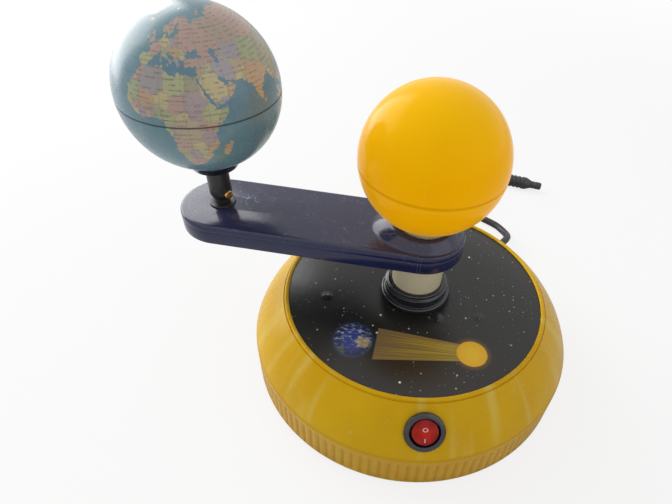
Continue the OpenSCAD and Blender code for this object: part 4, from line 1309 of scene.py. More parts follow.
@dataclass
class Switch:
    """The round rocker switch, let into the cone on the side towards -Y."""

    azimuth: float = -80.0
    place: Spot = (0.0, 0.0)
    slope: float = 0.0
    bezel: float = 11.5
    inner: float = 8.4
    seat: float = -0.6
    bezel_height: float = 2.3
    barrel: float = 9.9
    depth: float = 18.0
    rocker: float = 7.4
    rocker_top: float = 2.7
    pivot: float = -3.0
    swing: float = 16.0
    dish: float = 0.35
    clearance: float = 0.3
    cut_from: float = -9.0
    cut_to: float = 8.0
    well: float = -7.5
    rocker_low: float = -5.0
    rocker_phase: float = 1.875
    rocker_rings: Sequence[float] = (0.84, 0.7, 0.56, 0.42, 0.28, 0.14, 0.0)
    ring_radii: Spot = (0.95, 1.34)
    ring_levels: Point = (-0.15, 0.12, 0.06)
    ring_shape: Point = (0.78, 1.12, 1.0)
    bar_size: Point = (2.3, 0.5, 0.27)
    bar_bend: float = 0.07
    mark_places: Spot = (1.6, 4.5)
    mark_lift: float = 0.02

    @property
    def frame(self) -> Matrix:
        """The switch's own place: +Z out of the cone and +X down it."""
        turn = Matrix.Rotation(math.radians(self.azimuth), 4, "Z")
        tilt = Matrix.Rotation(math.pi / 2 - self.slope, 4, "Y")
        return turn @ Matrix.Translation((self.place[0], 0.0, self.place[1])) @ tilt

    def hole(self) -> Thing:
        """Return the cutter for the bezel's recess and the barrel's hole."""
        narrow, wide = self.barrel + self.clearance, self.bezel + self.clearance
        cutter = Bench.turned([(0.0, self.cut_from), (narrow, self.cut_from), (narrow, self.seat),
                               (wide, self.seat), (wide, self.cut_to), (0.0, self.cut_to)], 96, closed=False)
        return Bench.seat(cutter, self.frame)

    def body(self) -> Thing:
        """Make the bezel, its well and the barrel behind it."""
        face = self.seat + self.bezel_height
        profile = rounded([(0.0, -self.depth), (self.barrel, -self.depth, 0.6),
                           (self.barrel, self.seat, 0.2), (self.bezel, self.seat),
                           (self.bezel, face - 0.7, 0.5), (self.bezel - 1.5, face, 0.7),
                           (self.inner + 0.4, face, 0.3), (self.inner, face - 0.5, 0.2),
                           (self.inner, self.well, 0.4), (0.0, self.well)], loop=False)
        return Bench.seat(Bench.turned(profile, 128, closed=False), self.frame)

    def key(self) -> Thing:
        """Make the red rocker: a disc pressed into two dished slopes that meet in a low ridge."""
        profile = rounded([(0.0, self.rocker_low), (self.rocker, self.rocker_low, 0.4),
                           (self.rocker, self.rocker_top, 0.9), (0.0, self.rocker_top)], loop=False)
        rings = profile[:-1] + [(self.rocker * share, self.rocker_top) for share in self.rocker_rings]
        key = Bench.turned(rings, 96, phase=self.rocker_phase, closed=False)
        fall = self.rocker * math.tan(math.radians(self.swing / 2))
        columns = sorted({round(vertex.co.x / MM, 3) for vertex in key.data.vertices
                          if vertex.co.z / MM > 1.0})
        for column in columns:
            share = abs(column) / self.rocker
            drop = fall * share + self.dish * math.sin(math.pi * min(1.0, share))
            Bench.shift(key, lambda at: at.z > 1.0 and round(at.x, 3) == column, (0.0, 0.0, -drop))
        return key

    def marks(self) -> tuple[Thing, Thing]:
        """Make the raised ring and bar that mark off and on."""
        fall = math.tan(math.radians(self.swing / 2))
        inner, outer = self.ring_radii
        low, high, bend = self.ring_levels
        corners = [(inner, low), (outer, low), (outer, high, bend), (inner, high, bend)]
        ring = Bench.turned(rounded(corners, 2), 48)
        ring.scale = self.ring_shape
        Bench.settle(ring)
        bar = Bench.block(self.bar_size)
        Bench.soften(bar, lambda at: True, self.bar_bend, 2)
        for piece, side, out in zip((ring, bar), (-1, 1), self.mark_places):
            turn = math.pi / self.rocker
            tilt = Matrix.Rotation(side * math.atan(fall + self.dish * turn * math.cos(out * turn)), 4, "Y")
            height = self.rocker_top - out * fall - self.dish * math.sin(out * turn) + self.mark_lift
            Bench.seat(piece, Matrix.Translation((side * out, 0.0, height)) @ tilt)
        return ring, bar

    def build(self) -> None:
        """Make the switch and mount its rocker at rest."""
        Bench.deliver(self.body(), "switch_bezel", Body.BASE, "black_plastic", GLOSS_BLACK, "switch_body")
        hinge = Matrix.Translation((0.0, 0.0, self.pivot))
        tilt = self.frame @ hinge @ Matrix.Rotation(math.radians(-self.swing / 2), 4, "Y") @ hinge.inverted()
        key = Bench.seat(self.key(), tilt)
        Bench.deliver(key, "rocker_key", Body.ROCKER, "switch_red", RedKey(), "rocker")
        for piece, name in zip(self.marks(), ("rocker_mark_off", "rocker_mark_on")):
            Bench.seat(piece, tilt)
            Bench.deliver(piece, name, Body.ROCKER, "switch_red", MARK_WHITE)


def ball_half(radius: float, wall: float, centre: Spot, upper: bool, hole: float = 0.0,
              steps: int = 48, around: int = 128, parts: int = 8, drop: float = 0.0) -> Thing:
    """Make one half of a hollow moulded ball.

    Args:
        radius: Outer radius.
        wall: Wall thickness.
        centre: Distance of its axis from the frame's along -X, and height of its middle.
        upper: Whether it is the upper half.
        hole: Radius of the hole at the foot of a lower half.
        steps: Steps from seam to pole outside.
        around: Steps round the axis.
        parts: How many equal sectors are copied round.
        drop: How far the seam is below the ball's middle.

    Returns:
        The half, in its place.
    """
    inner, gap, sunk, inner_steps = radius - wall, 0.1, 0.15, 10
    away, height = centre
    seam, inner_seam = (-math.degrees(math.asin(drop / size)) for size in (radius, inner))
    notch = gap * radius * 0.006
    if upper:
        line = arc(radius, seam + gap, 90.0, steps)[:-1] + [(0.0, radius), (0.0, inner)]
        line += arc(inner, 90.0, inner_seam + gap, inner_steps)[1:]
        line = [(radius - sunk, notch - drop)] + line + [(radius - sunk, notch - drop)]
    else:
        foot, inner_foot = (-math.degrees(math.acos(hole / size)) for size in (radius, inner))
        line = arc(radius, foot, seam - gap, steps) + [(radius - sunk, -notch - drop)]
        line += arc(inner, inner_seam - gap, inner_foot, inner_steps)
    line = [(out, up + height) for out, up in line]
    piece = Bench.turned(line, around // parts, 360.0 / parts, closed=not upper, mend=False)
    Bench.repeat(piece, parts)
    return Bench.seat(piece, Matrix.Translation((-away, 0.0, 0.0)))


@dataclass
class Sun:
    """The sun on its cream neck, fixed over the turning arm."""

    radius: float = 40.0
    wall: float = 1.6
    height: float = 152.4
    hole: float = 12.5
    neck: float = 15.5
    neck_wall: float = 2.0
    neck_foot: float = 105.1
    seam_drop: float = 2.2

    def build(self) -> None:
        """Make the two halves and the neck."""
        for upper, name in ((True, "upper"), (False, "lower")):
            half = ball_half(self.radius, self.wall, (0.0, self.height), upper, self.hole,
                             drop=self.seam_drop)
            Bench.deliver(half, f"sun_{name}_moulded", Body.BASE, "sun_plastic", SunGlaze(), f"sun_{name}")
        inner = self.neck - self.neck_wall
        rest, inner_rest = (self.height - math.sqrt(self.radius ** 2 - out ** 2) - 0.05
                            for out in (self.neck, inner))
        profile = rounded([(inner, self.neck_foot), (self.neck, self.neck_foot, 0.3), (self.neck, rest, 0.15),
                           (inner, inner_rest, 0.15)], 3)
        # The neck's rim takes painted shade under the sun.
        Bench.deliver(Bench.turned(profile, 128), "sun_neck_moulded", Body.BASE, "cream_plastic",
                      NeckTone("neck_cream", rim_shade=0.75), "sun_neck")


@dataclass
class Column:
    """The black stepped collar on the base and the cream tube that turns in it."""

    tube: float = 15.75
    tube_wall: float = 2.25
    tube_foot: float = 23.7
    tube_top: float = 97.2
    seat: float = 55.0
    tail: float = 43.8
    play: float = 0.09
    sleeve: float = 18.13
    steps: Sequence[Point] = ((22.0, 0.0, 0.2), (22.0, 3.5, 1.0), (20.05, 3.5, 0.35), (20.05, 9.2, 0.5),
                              (18.65, 9.8, 0.4), (18.65, 12.0, 0.9))

    def build(self) -> None:
        """Make the collar and the tube. A step is a radius, a height over the seat and a rounding."""
        bore = self.tube + self.play
        steps = [(out, self.seat + up, bend) for out, up, bend in self.steps]
        profile = rounded([(bore, self.tail), (self.sleeve, self.tail, 0.4), (self.sleeve, self.seat), *steps,
                           (bore, steps[-1][1], 0.5)])
        Bench.deliver(Bench.turned(profile, 144), "collar_turned", Body.BASE, "black_plastic", GLOSS_BLACK,
                      "collar")
        inner = self.tube - self.tube_wall
        tube = rounded([(inner, self.tube_foot, 0.3), (self.tube, self.tube_foot, 0.3),
                        (self.tube, self.tube_top, 0.3), (inner, self.tube_top, 0.3)], 2)
        Bench.deliver(Bench.turned(tube, 128), "drive_tube_turned", Body.ARM, "cream_plastic",
                      NeckTone("tube_cream"), "drive_tube")


@dataclass
class Arm:
    """The dark blue arm: a tray, a lid with its dome, and the bush that the stem stands in."""

    length: float = 121.5
    radius: float = 24.8
    foot: float = 92.5
    seam: float = 100.75
    top: float = 105.6
    wall: float = 2.0
    dome: float = 24.3
    dome_height: float = 6.3
    dome_draw: float = 0.3
    dome_hole: float = 16.2
    tube_hole: float = 15.75
    bush_hole: float = 6.5
    bush_rim: float = 7.6
    shaft: float = 4.4
    washer: Spot = (-2.2, 1.0)
    steps: int = 128
    pocket: Spot = (2.3, 1.9)
    brim_steps: int = 20
    brim_power: float = 1.7
    weld: float = 0.02
    screws: Sequence[Spot] = ((-40.0, 0.0), (-78.0, 0.0), (-105.0, 19.2), (-105.0, -19.2))

    def slab(self, profile: Line) -> Thing:
        """Turn a profile and draw its -X half out to the arm's length."""
        piece = Bench.turned(profile, self.steps, phase=180.0 / self.steps, closed=False)
        Bench.shift(piece, lambda at: at.x < -1e-4, (-self.length, 0.0, 0.0))
        return piece

    def tray(self) -> Thing:
        """Make the tray with its tube's hole and the screws' pockets."""
        inner = self.radius - self.wall
        floor = self.foot + self.wall
        profile = [(0.0, self.foot), (self.radius, self.foot, 1.0), (self.radius, self.seam, 0.3),
                   (inner, self.seam), (inner, floor, 0.6), (0.0, floor)]
        tray = self.slab(rounded(profile, loop=False))
        Bench.combine(tray, Bench.rod(self.tube_hole, self.foot - 1, self.seam + 1))
        wide, deep = self.pocket
        for spot in self.screws:
            Bench.combine(tray, Bench.rod(wide, self.foot - 1, self.foot + deep, spot, 40))
        return tray

    def lid(self) -> Thing:
        """Make the lid, weld its dome on and cut its holes."""
        inner = self.radius - self.wall
        low = self.top - 0.5
        edge, under = self.seam + 0.1, self.top - self.wall
        lid = self.slab(rounded([(0.0, self.top), (self.radius, self.top, 3.0), (self.radius, edge, 0.3),
                                 (inner, edge), (inner, under, 0.8), (0.0, under)], loop=False))
        Bench.combine(lid, Bench.rod(self.dome_hole - 0.6, self.seam, self.top + 9))
        run = self.dome - self.dome_hole - 0.6
        foot, top, count = under + self.weld, self.top + self.weld, self.brim_steps
        brim = [(self.dome - run * step / count,
                 top + self.dome_height * math.sin(math.pi * step / (2 * count)) ** self.brim_power)
                for step in range(count + 1)]
        ring = [(self.dome_hole, foot), (self.dome_hole + 3, foot), (self.dome - 2.0, low), (self.dome, low),
                *brim, (self.dome_hole, self.top + self.dome_height + self.weld, 0.3)]
        dome = Bench.turned(rounded(ring), self.steps, phase=180.0 / self.steps)
        for out, up in [(self.dome, low)] + brim:
            size = 1.0 + self.dome_draw * (out - self.dome_hole) / (self.dome - self.dome_hole)
            Bench.squeeze(dome, lambda at: at.x < -1e-4 and abs(at.z - up) < 0.002
                          and abs(at.xy.length - out) < 0.002, (size, 1.0, 1.0))
        Bench.combine(lid, dome, "UNION")
        Bench.combine(lid, Bench.rod(self.bush_hole, self.seam, self.top + 9, (-self.length, 0.0)))
        return lid

    def build(self) -> None:
        """Make the arm's three pieces."""
        for piece, part in ((self.tray(), "tray"), (self.lid(), "lid")):
            Bench.deliver(piece, f"arm_{part}_moulded", Body.ARM, "dark_blue_abs",
                          ArmSkin(f"arm_{part}_skin"), f"arm_{part}")
        bore, neck = self.shaft + 0.07, self.bush_hole - 0.03
        low, high = (self.top + height for height in self.washer)
        bush = Bench.turned(rounded([(bore, low), (neck, low), (neck, self.top + self.weld),
                                     (self.bush_rim, self.top + self.weld, 0.15), (self.bush_rim, high, 0.35),
                                     (bore, high, 0.25)]), 96)
        Bench.seat(bush, Matrix.Translation((-self.length, 0.0, 0.0)))
        Bench.deliver(bush, "stem_washer", Body.ARM, "black_plastic", SATIN_BLACK, "shaft_bush")


@dataclass
class Stem:
    """The globe's shaft, its socket with the brass set screw, and the saucer."""

    away: float = 121.5
    shaft: float = 4.4
    socket: float = 6.4
    shaft_foot: float = 94.8
    shaft_top: float = 150.3
    socket_foot: float = 109.6
    taper: float = 3.4
    globe: float = 40.5
    globe_height: float = 175.2
    saucer: float = 16.0
    saucer_deep: float = 6.2
    screw_height: float = 113.8
    screw_turn: float = -30.0
    screw_shank: float = 1.45
    screw_head: Spot = (2.5, 1.5)
    screw_crown: float = 0.12
    slot: Point = (0.7, 6.0, 1.6)

    @property
    def place(self) -> Matrix:
        """The globe's axis."""
        return Matrix.Translation((-self.away, 0.0, 0.0))

    @property
    def screw_place(self) -> Matrix:
        """The set screw's axis, +Z out of the socket."""
        return lying((-self.away, 0.0, self.screw_height), self.screw_turn)

    def screw(self) -> Thing:
        """Make the set screw's head, domed, with a driver's slot."""
        start, shank = self.socket + 0.05, self.screw_shank
        wide, high = self.screw_head
        profile = rounded([(0.0, self.shaft), (shank, self.shaft), (shank, start), (wide, start, 0.12),
                           (wide, start + high, 0.5), (0.0, start + high + self.screw_crown)], loop=False)
        head = Bench.turned(profile, 48, closed=False)
        Bench.combine(head, Bench.block(self.slot, (0.0, 0.0, start + 1.8)))
        return Bench.seat(head, self.screw_place)

    def build(self) -> None:
        """Make the stem's four pieces."""
        seat = self.globe + 0.05
        top = self.globe_height - math.sqrt(self.globe ** 2 - self.socket ** 2) - 2.2
        profile = rounded([(0.0, self.shaft_foot), (self.shaft, self.shaft_foot, 0.4),
                           (self.shaft, self.shaft_top, 0.4), (0.0, self.shaft_top)], loop=False)
        shaft = Bench.turned(profile, 96, closed=False)
        Bench.deliver(Bench.seat(shaft, self.place), "earth_shaft_turned", Body.EARTH, "steel",
                      Plastic("shaft_black", (0.02, 0.0203, 0.021), (0.035, 0.035, 0.037), 0.3, scratched=0.8,
                              dust=0.25), "earth_shaft")
        bore = self.shaft + 0.02
        socket = Bench.turned(rounded([(bore, self.socket_foot), (self.shaft + 0.6, self.socket_foot, 0.2),
                                       (self.socket, self.socket_foot + self.taper, 0.8),
                                       (self.socket, top, 0.2), (bore, top)]), 96)
        Bench.seat(socket, self.place)
        Bench.combine(socket, Bench.seat(Bench.rod(1.5, 5.0, 9.0, steps=32), self.screw_place))
        Bench.deliver(socket, "stem_socket_turned", Body.EARTH, "black_plastic", SATIN_BLACK, "stem_socket")
        Bench.deliver(self.screw(), "set_screw_turned", Body.EARTH, "brass",
                      Metal("screw_brass", (0.62, 0.42, 0.16), 0.28), "set_screw", smooth=40.0)
        inner, outer = (math.degrees(math.asin(out / seat)) for out in (bore, self.saucer))
        bowl = arc(seat, outer - 90.0, inner - 90.0, 16, self.globe_height)
        rim = self.globe_height - seat * math.cos(math.radians(outer))
        foot = rim - self.saucer_deep
        neck = self.socket + 0.03
        saucer = rounded([(bore, top + 0.05), (neck, top + 0.05), (neck, foot + 0.6),
                          (self.socket + 2.0, foot + 0.2, 0.5), (self.saucer - 3.2, foot, 0.8),
                          (self.saucer, rim - 0.9, 0.6), *bowl])
        Bench.deliver(Bench.seat(Bench.turned(saucer, 128), self.place), "saucer_moulded", Body.EARTH,
                      "black_plastic", GLOSS_BLACK, "saucer")


OUTLINES = {
    "africa": """
        -6 36, 0 36, 10 37, 11 34, 15 32, 20 31, 20 33, 23 33, 29 31, 32 31.3, 34 28, 37 21, 39 16, 43 12,
        44 10.5, 51 12, 50 8, 46 3, 42 -1, 39.5 -5, 40.5 -10.5, 40.5 -15, 35 -20, 35.5 -24, 32.5 -27, 30
        -31, 25.5 -34, 20 -35, 18 -33, 16 -28, 14.5 -22, 11.7 -17, 13.5 -12, 12 -5, 9 -1, 9.5 4, 6 4.3, 4
        6.3, -2 5, -7.5 4.4, -13 8.5, -16.8 12.5, -17.5 15, -16.5 19, -17 21, -13 27.5, -9.8 30, -9.5 32,
        -6.5 34.5""",
    "madagascar": "49.3 -12, 50.5 -15.5, 47.2 -25, 44 -25, 43.5 -21.5, 44.5 -16.2, 47.5 -14.5",
    "eurasia": """
        -9 43, -2 43.5, -1.2 46, -4.7 48.4, -1.5 48.8, 2 51, 4 52, 8 54, 8.2 57, 10.5 57.5, 10 54.5, 14 54,
        19 54.5, 21 57, 24 57.5, 23.5 59.2, 30 60, 23 60, 21.5 61, 21.5 63, 25.5 65, 22 65.8, 17.5 62, 18.5
        60, 16.5 57, 14.3 55.5, 12.8 56, 11 59, 7 58, 5 59.5, 5 62, 10 64.5, 14 68, 20 70, 28 71, 33 69.5,
        41 67, 40 66.2, 33 66.7, 38 64, 40 64.7, 44 66, 46 68, 54 68.5, 60 69, 68 68.5, 67 71.5, 72 73, 75
        72, 80 73.5, 87 75, 98 76, 104 77.7, 113 74, 120 73, 130 71, 140 72.5, 152 71, 160 69.5, 170 69, 180
        69, 180 65, 177 62.5, 170 60, 163 58, 162 56, 157 51, 156 57, 163 61, 160 61.5, 155 59.5, 143 59,
        135 54.5, 141 52, 140 48, 135 43.5, 131 43, 127.5 40, 129.5 37, 129 35, 126.5 34.5, 126.5 37.5, 125
        39.5, 121.5 39, 121 40.8, 118 39, 122.5 37, 119.5 35, 122 31, 121.5 28.5, 118 24.5, 114 22.3, 108.5
        21.5, 106 19, 109 14, 109 11.5, 105 9, 105 10.5, 102.5 12, 100.5 13.5, 99.5 10, 103.5 4, 104 1.3,
        101 3, 98.3 8, 98.5 15, 95 16, 94.3 18, 91.5 22.5, 88 21.7, 86 20, 80.2 15.5, 80 11, 77.5 8, 73.5
        16, 72.7 21, 70 21, 69 22.5, 66.5 25.2, 61.5 25.2, 57 26.5, 54 26.7, 50.5 30, 48 30, 50 26.5, 51.5
        25.8, 51.5 24.3, 54 24, 56.3 26, 59.8 22.5, 55 17.5, 52 15.5, 45 12.8, 43.3 13, 42.5 16.5, 39 21.5,
        35 28, 34.6 29.5, 32.6 30, 34.3 31.3, 36 36.5, 31 36.8, 27.5 36.8, 26.5 39.5, 29 41, 35 42, 41.5
        41.5, 37.5 44.7, 39 47.2, 35 46.2, 33.5 44.5, 30.7 46.5, 28 43.5, 28.8 41.2, 26 40.8, 23 40.3, 24
        38, 22.5 36.5, 19.5 40, 19.5 42, 14 45, 12.3 45.3, 13.5 43.6, 18.5 40.1, 16.5 38, 15.7 40, 11 42.4,
        8.8 44.4, 4 43.4, 3 41.8, -0.3 39.5, -2 36.8, -5.5 36, -9 37, -9.3 39""",
    "britain": "-5.5 50, 1.2 51.2, 0 53.5, -2 57.5, -5 58.5, -5.5 56, -3 54.5, -4.5 53, -4.8 52",
    "ireland": "-10 52, -6.2 52.2, -6 54.5, -8 55.2, -9.8 53.5",
    "iceland": "-24 65.5, -19 63.5, -14 65, -16 66.4, -22 66.3",
    "ceylon": "79.8 8, 81.3 8.5, 81.5 6.5, 80.2 6",
    "japan": """
        130 31.5, 131.5 33.5, 136 33.7, 140.5 35.5, 141.8 39.5, 145 43.3, 141.8 45.3, 140 41.8, 139.5 38.5,
        136.7 37, 133 35.5, 130 33.8""",
    "sumatra": "95.5 5.5, 98.5 3.7, 106 -3, 105.7 -5.8, 102 -4, 98.5 1",
    "java": "105.5 -6.5, 108.5 -6.7, 114.3 -7.7, 114.5 -8.7, 106.5 -7.4",
    "borneo": "109 1, 113 3, 117 7, 119 5, 117.5 1, 116 -4, 110.2 -3",
    "celebes": "119.5 -5.5, 120 1, 125 1.5, 121 0.3, 122.5 -4.5",
    "papua": "131 -1, 135 -3.3, 138 -1.6, 145 -4.5, 150.5 -10.5, 144 -8, 138 -8.3, 132.5 -3",
    "luzon": "120.5 18.5, 122.2 18, 124 13, 126.5 7.5, 122 7, 123.5 10, 120 14",
    "australia": """
        114 -22, 122 -18, 126.5 -14, 131 -11.5, 136.5 -12, 135.5 -15, 140.5 -17.5, 142.5 -10.8, 146 -19, 153
        -25.5, 153.2 -29, 150 -37.3, 144 -38.5, 140 -38, 136 -34.8, 131 -31.5, 124 -33, 118 -35, 115 -34,
        115.7 -31""",
    "tasmania": "144.8 -40.8, 148.3 -40.9, 147.5 -43.5, 145.5 -42.8",
    "zealand": """
        172.8 -34.5, 178.4 -37.8, 175 -41.5, 171 -44.5, 169 -46.6, 166.5 -45.8, 172.7 -40.7, 174.8 -38""",
    "north_america": """
        -168 66, -156 71.2, -140 69.7, -128 70.5, -115 68.5, -108 68, -95 68, -95 71.5, -86 68, -81.5 69,
        -87 64.5, -94.5 60, -92.5 57, -82.5 55, -80 51.3, -79 55, -77 60, -78 62.5, -70 61, -65 59, -61.5
        56.5, -56 52, -66 50, -64.5 48, -61 45.5, -66 43.7, -70 43.5, -70 41.7, -74 40.5, -76 37, -76 35,
        -81 31.5, -80 26, -82.5 28, -84 30, -90 29.5, -97.3 27.5, -97.5 22, -95 18.5, -91 18.7, -90 21, -87
        21.3, -88.5 16, -83.3 15, -83.5 11, -81 9, -78 9.3, -77.5 8, -80 7.5, -85.7 10, -87.5 13, -94 16,
        -101.5 17.5, -105.5 20.5, -109 26, -113 31, -110 24, -112 27, -117 32.5, -121 35, -124 40, -124 46,
        -123 49, -128 51, -133 57, -140 60, -148 60.5, -154 58, -162 55, -157 58.5, -162 59, -166 61.5, -161
        64.5""",
    "greenland": """
        -73 78, -60 82, -35 83.5, -20 80.5, -20 74, -24 70, -40 65, -44 60, -51 62, -54 69, -58 75.5""",
    "baffin": "-80 73.5, -68 69.5, -62 66.5, -72 63, -73 66.5, -85 70",
    "victoria": "-117 70, -105 72.5, -101 69, -115 69",
    "ellesmere": "-90 76.5, -85 81.5, -65 82.5, -78 77",
    "cuba": "-84.5 22, -80 23.1, -74.5 20.2, -77.5 19.9",
    "hispaniola": "-74 19.8, -68.5 18.7, -74 18.2",
    "south_america": """
        -77.5 8, -72 12, -62 10.5, -52 5, -50 0, -44 -2.7, -35.2 -5.5, -39 -13, -39.5 -19, -41 -22.5, -48.5
        -26.5, -53.5 -34, -57 -36.2, -62 -39, -65 -42, -67.5 -46, -69 -51, -65.5 -54.8, -71 -54, -75 -50,
        -73.5 -41, -71.5 -30, -70.2 -18.5, -76 -14, -81.2 -6, -80 -2.5, -80 1, -77.5 4""",
    "novaya": "52 71, 57 75, 68 77, 56 71",
    "svalbard": "12 79.5, 24 80, 17 77",
    "sicily": "12.5 38, 15.5 38, 15 36.8",
    "corsica": "8.3 39, 9.7 39.2, 9.3 43, 8.5 42",
}
LAKES = {"caspian": "47 45, 51 47, 53 45, 52.5 41.5, 54 37, 50 37.5, 49.5 40.5"}

INKS: dict[str, Colour] = {
    "green": (0.24, 0.29, 0.11), "lime": (0.34, 0.36, 0.12), "olive": (0.22, 0.21, 0.09),
    "yellow": (0.46, 0.36, 0.12), "orange": (0.44, 0.23, 0.08), "tan": (0.37, 0.26, 0.15),
    "pink": (0.39, 0.20, 0.16), "red": (0.34, 0.13, 0.11), "mauve": (0.28, 0.18, 0.22),
    "grey": (0.23, 0.20, 0.23), "brown": (0.30, 0.19, 0.13), "violet": (0.24, 0.20, 0.27),
    "white": (0.45, 0.45, 0.42),
}

COUNTRIES = """
    grey 3 28 9; lime 17 27 8; olive 29 26.5 5; mauve 30 15.5 7; mauve 29.5 9 4; lime 39.5 8.5 6;
    green 46.5 5.5 4; pink -6 32 4; yellow 9.5 34 1; tan -13 24.5 2; green -10.5 20 5; orange -2 17.5 6;
    yellow 9 17.5 6; pink 18.5 15.5 6; orange 38 0.5 3; pink 32.5 1.5 1; yellow 20.5 6.5 3; lime 12.5 5.5 2;
    green 8 9.5 4; mauve 2 9.5 0; grey -1.5 12.3 1; orange -1 8 1; violet -5.5 7.5 1; yellow -10.5 7.5 0;
    pink -11 10.8 1; lime -14.5 14.5 1; lime 11.8 -0.8 1; violet 15.2 -0.8 2; tan 23.5 -2.8 9;
    pink 17.5 -12.3 6; yellow 27.5 -13.8 4; mauve 35 -6.3 5; orange 36.5 -15 3; orange 34 -21 1;
    grey 34.2 -13 0; lime 29.8 -19 2; violet 23.8 -22 4; green 16.8 -21.8 4; pink 24 -30.5 6;
    yellow 28.5 -26.5 2; orange 46.5 -19.5 3; lime -5 41 5; pink 2.5 46.5 4; yellow 10 51 3; green 12 43 3;
    violet 19.5 52 2; tan 15 48 1; orange 21 45 3; lime 25 46 2; yellow 24 42 1; violet 22.5 39.5 1;
    tan 27 54 2; yellow 32 49 5; mauve 16 63 4; green 26 63 3; tan 9.5 61 3; pink -2 53.5 3;
    green -8 53.5 2; pink 33.5 39 5; yellow 44 24.5 9; grey 47 15.8 3; orange 56.5 21 3; lime 43.5 33 3;
    tan 38.5 35 2; orange 36.5 31 1; violet 53.5 32.5 7; tan 66 34 4; yellow 68.5 28.5 4; orange 79 23 10;
    lime 84 28 1; green 90 24 1; violet 66.5 48 11; lime 60 40 3; orange 64 42 3; pink 44.5 41.5 2;
    pink 45 56 16; brown 70 62 18; pink 100 62 20; brown 135 64 18; pink 160 65 10; olive 103 47 8;
    green 88 42 12; olive 108 33 16; green 120 45 8; yellow 96 21 4; violet 101 16 3; pink 106 15 3;
    lime 102 4 1; pink 127.5 38 2; yellow 138 37 4; orange 100 0 4; lime 112 0 4; orange 110 -7 2;
    green 140 -5 3; yellow 121 14 3; orange 134 -26 14; pink 147 -33 4; green 172 -42 3; pink -105 60 20;
    brown -152 65 7; lime -98 40 14; orange -102 24 6; yellow -88 14 3; white -42 74 14; tan -79 22 1;
    green -70.5 19 1; lime -53 -9 14; orange -64 -17 4; pink -72 4 4; yellow -65 7 4; green -75 -9 4;
    tan -65 -36 8; mauve -71.5 -38 1; violet -58 -23 2; orange -56 -33 1; white 0 -82 14; pink 81 7.3 1;
    green 147 -42 1; white 18 79 3; brown 60 74 2; lime -75 67 6; pink 14 37.5 1; violet 9 40.5 1;
    green -19 65 2"""


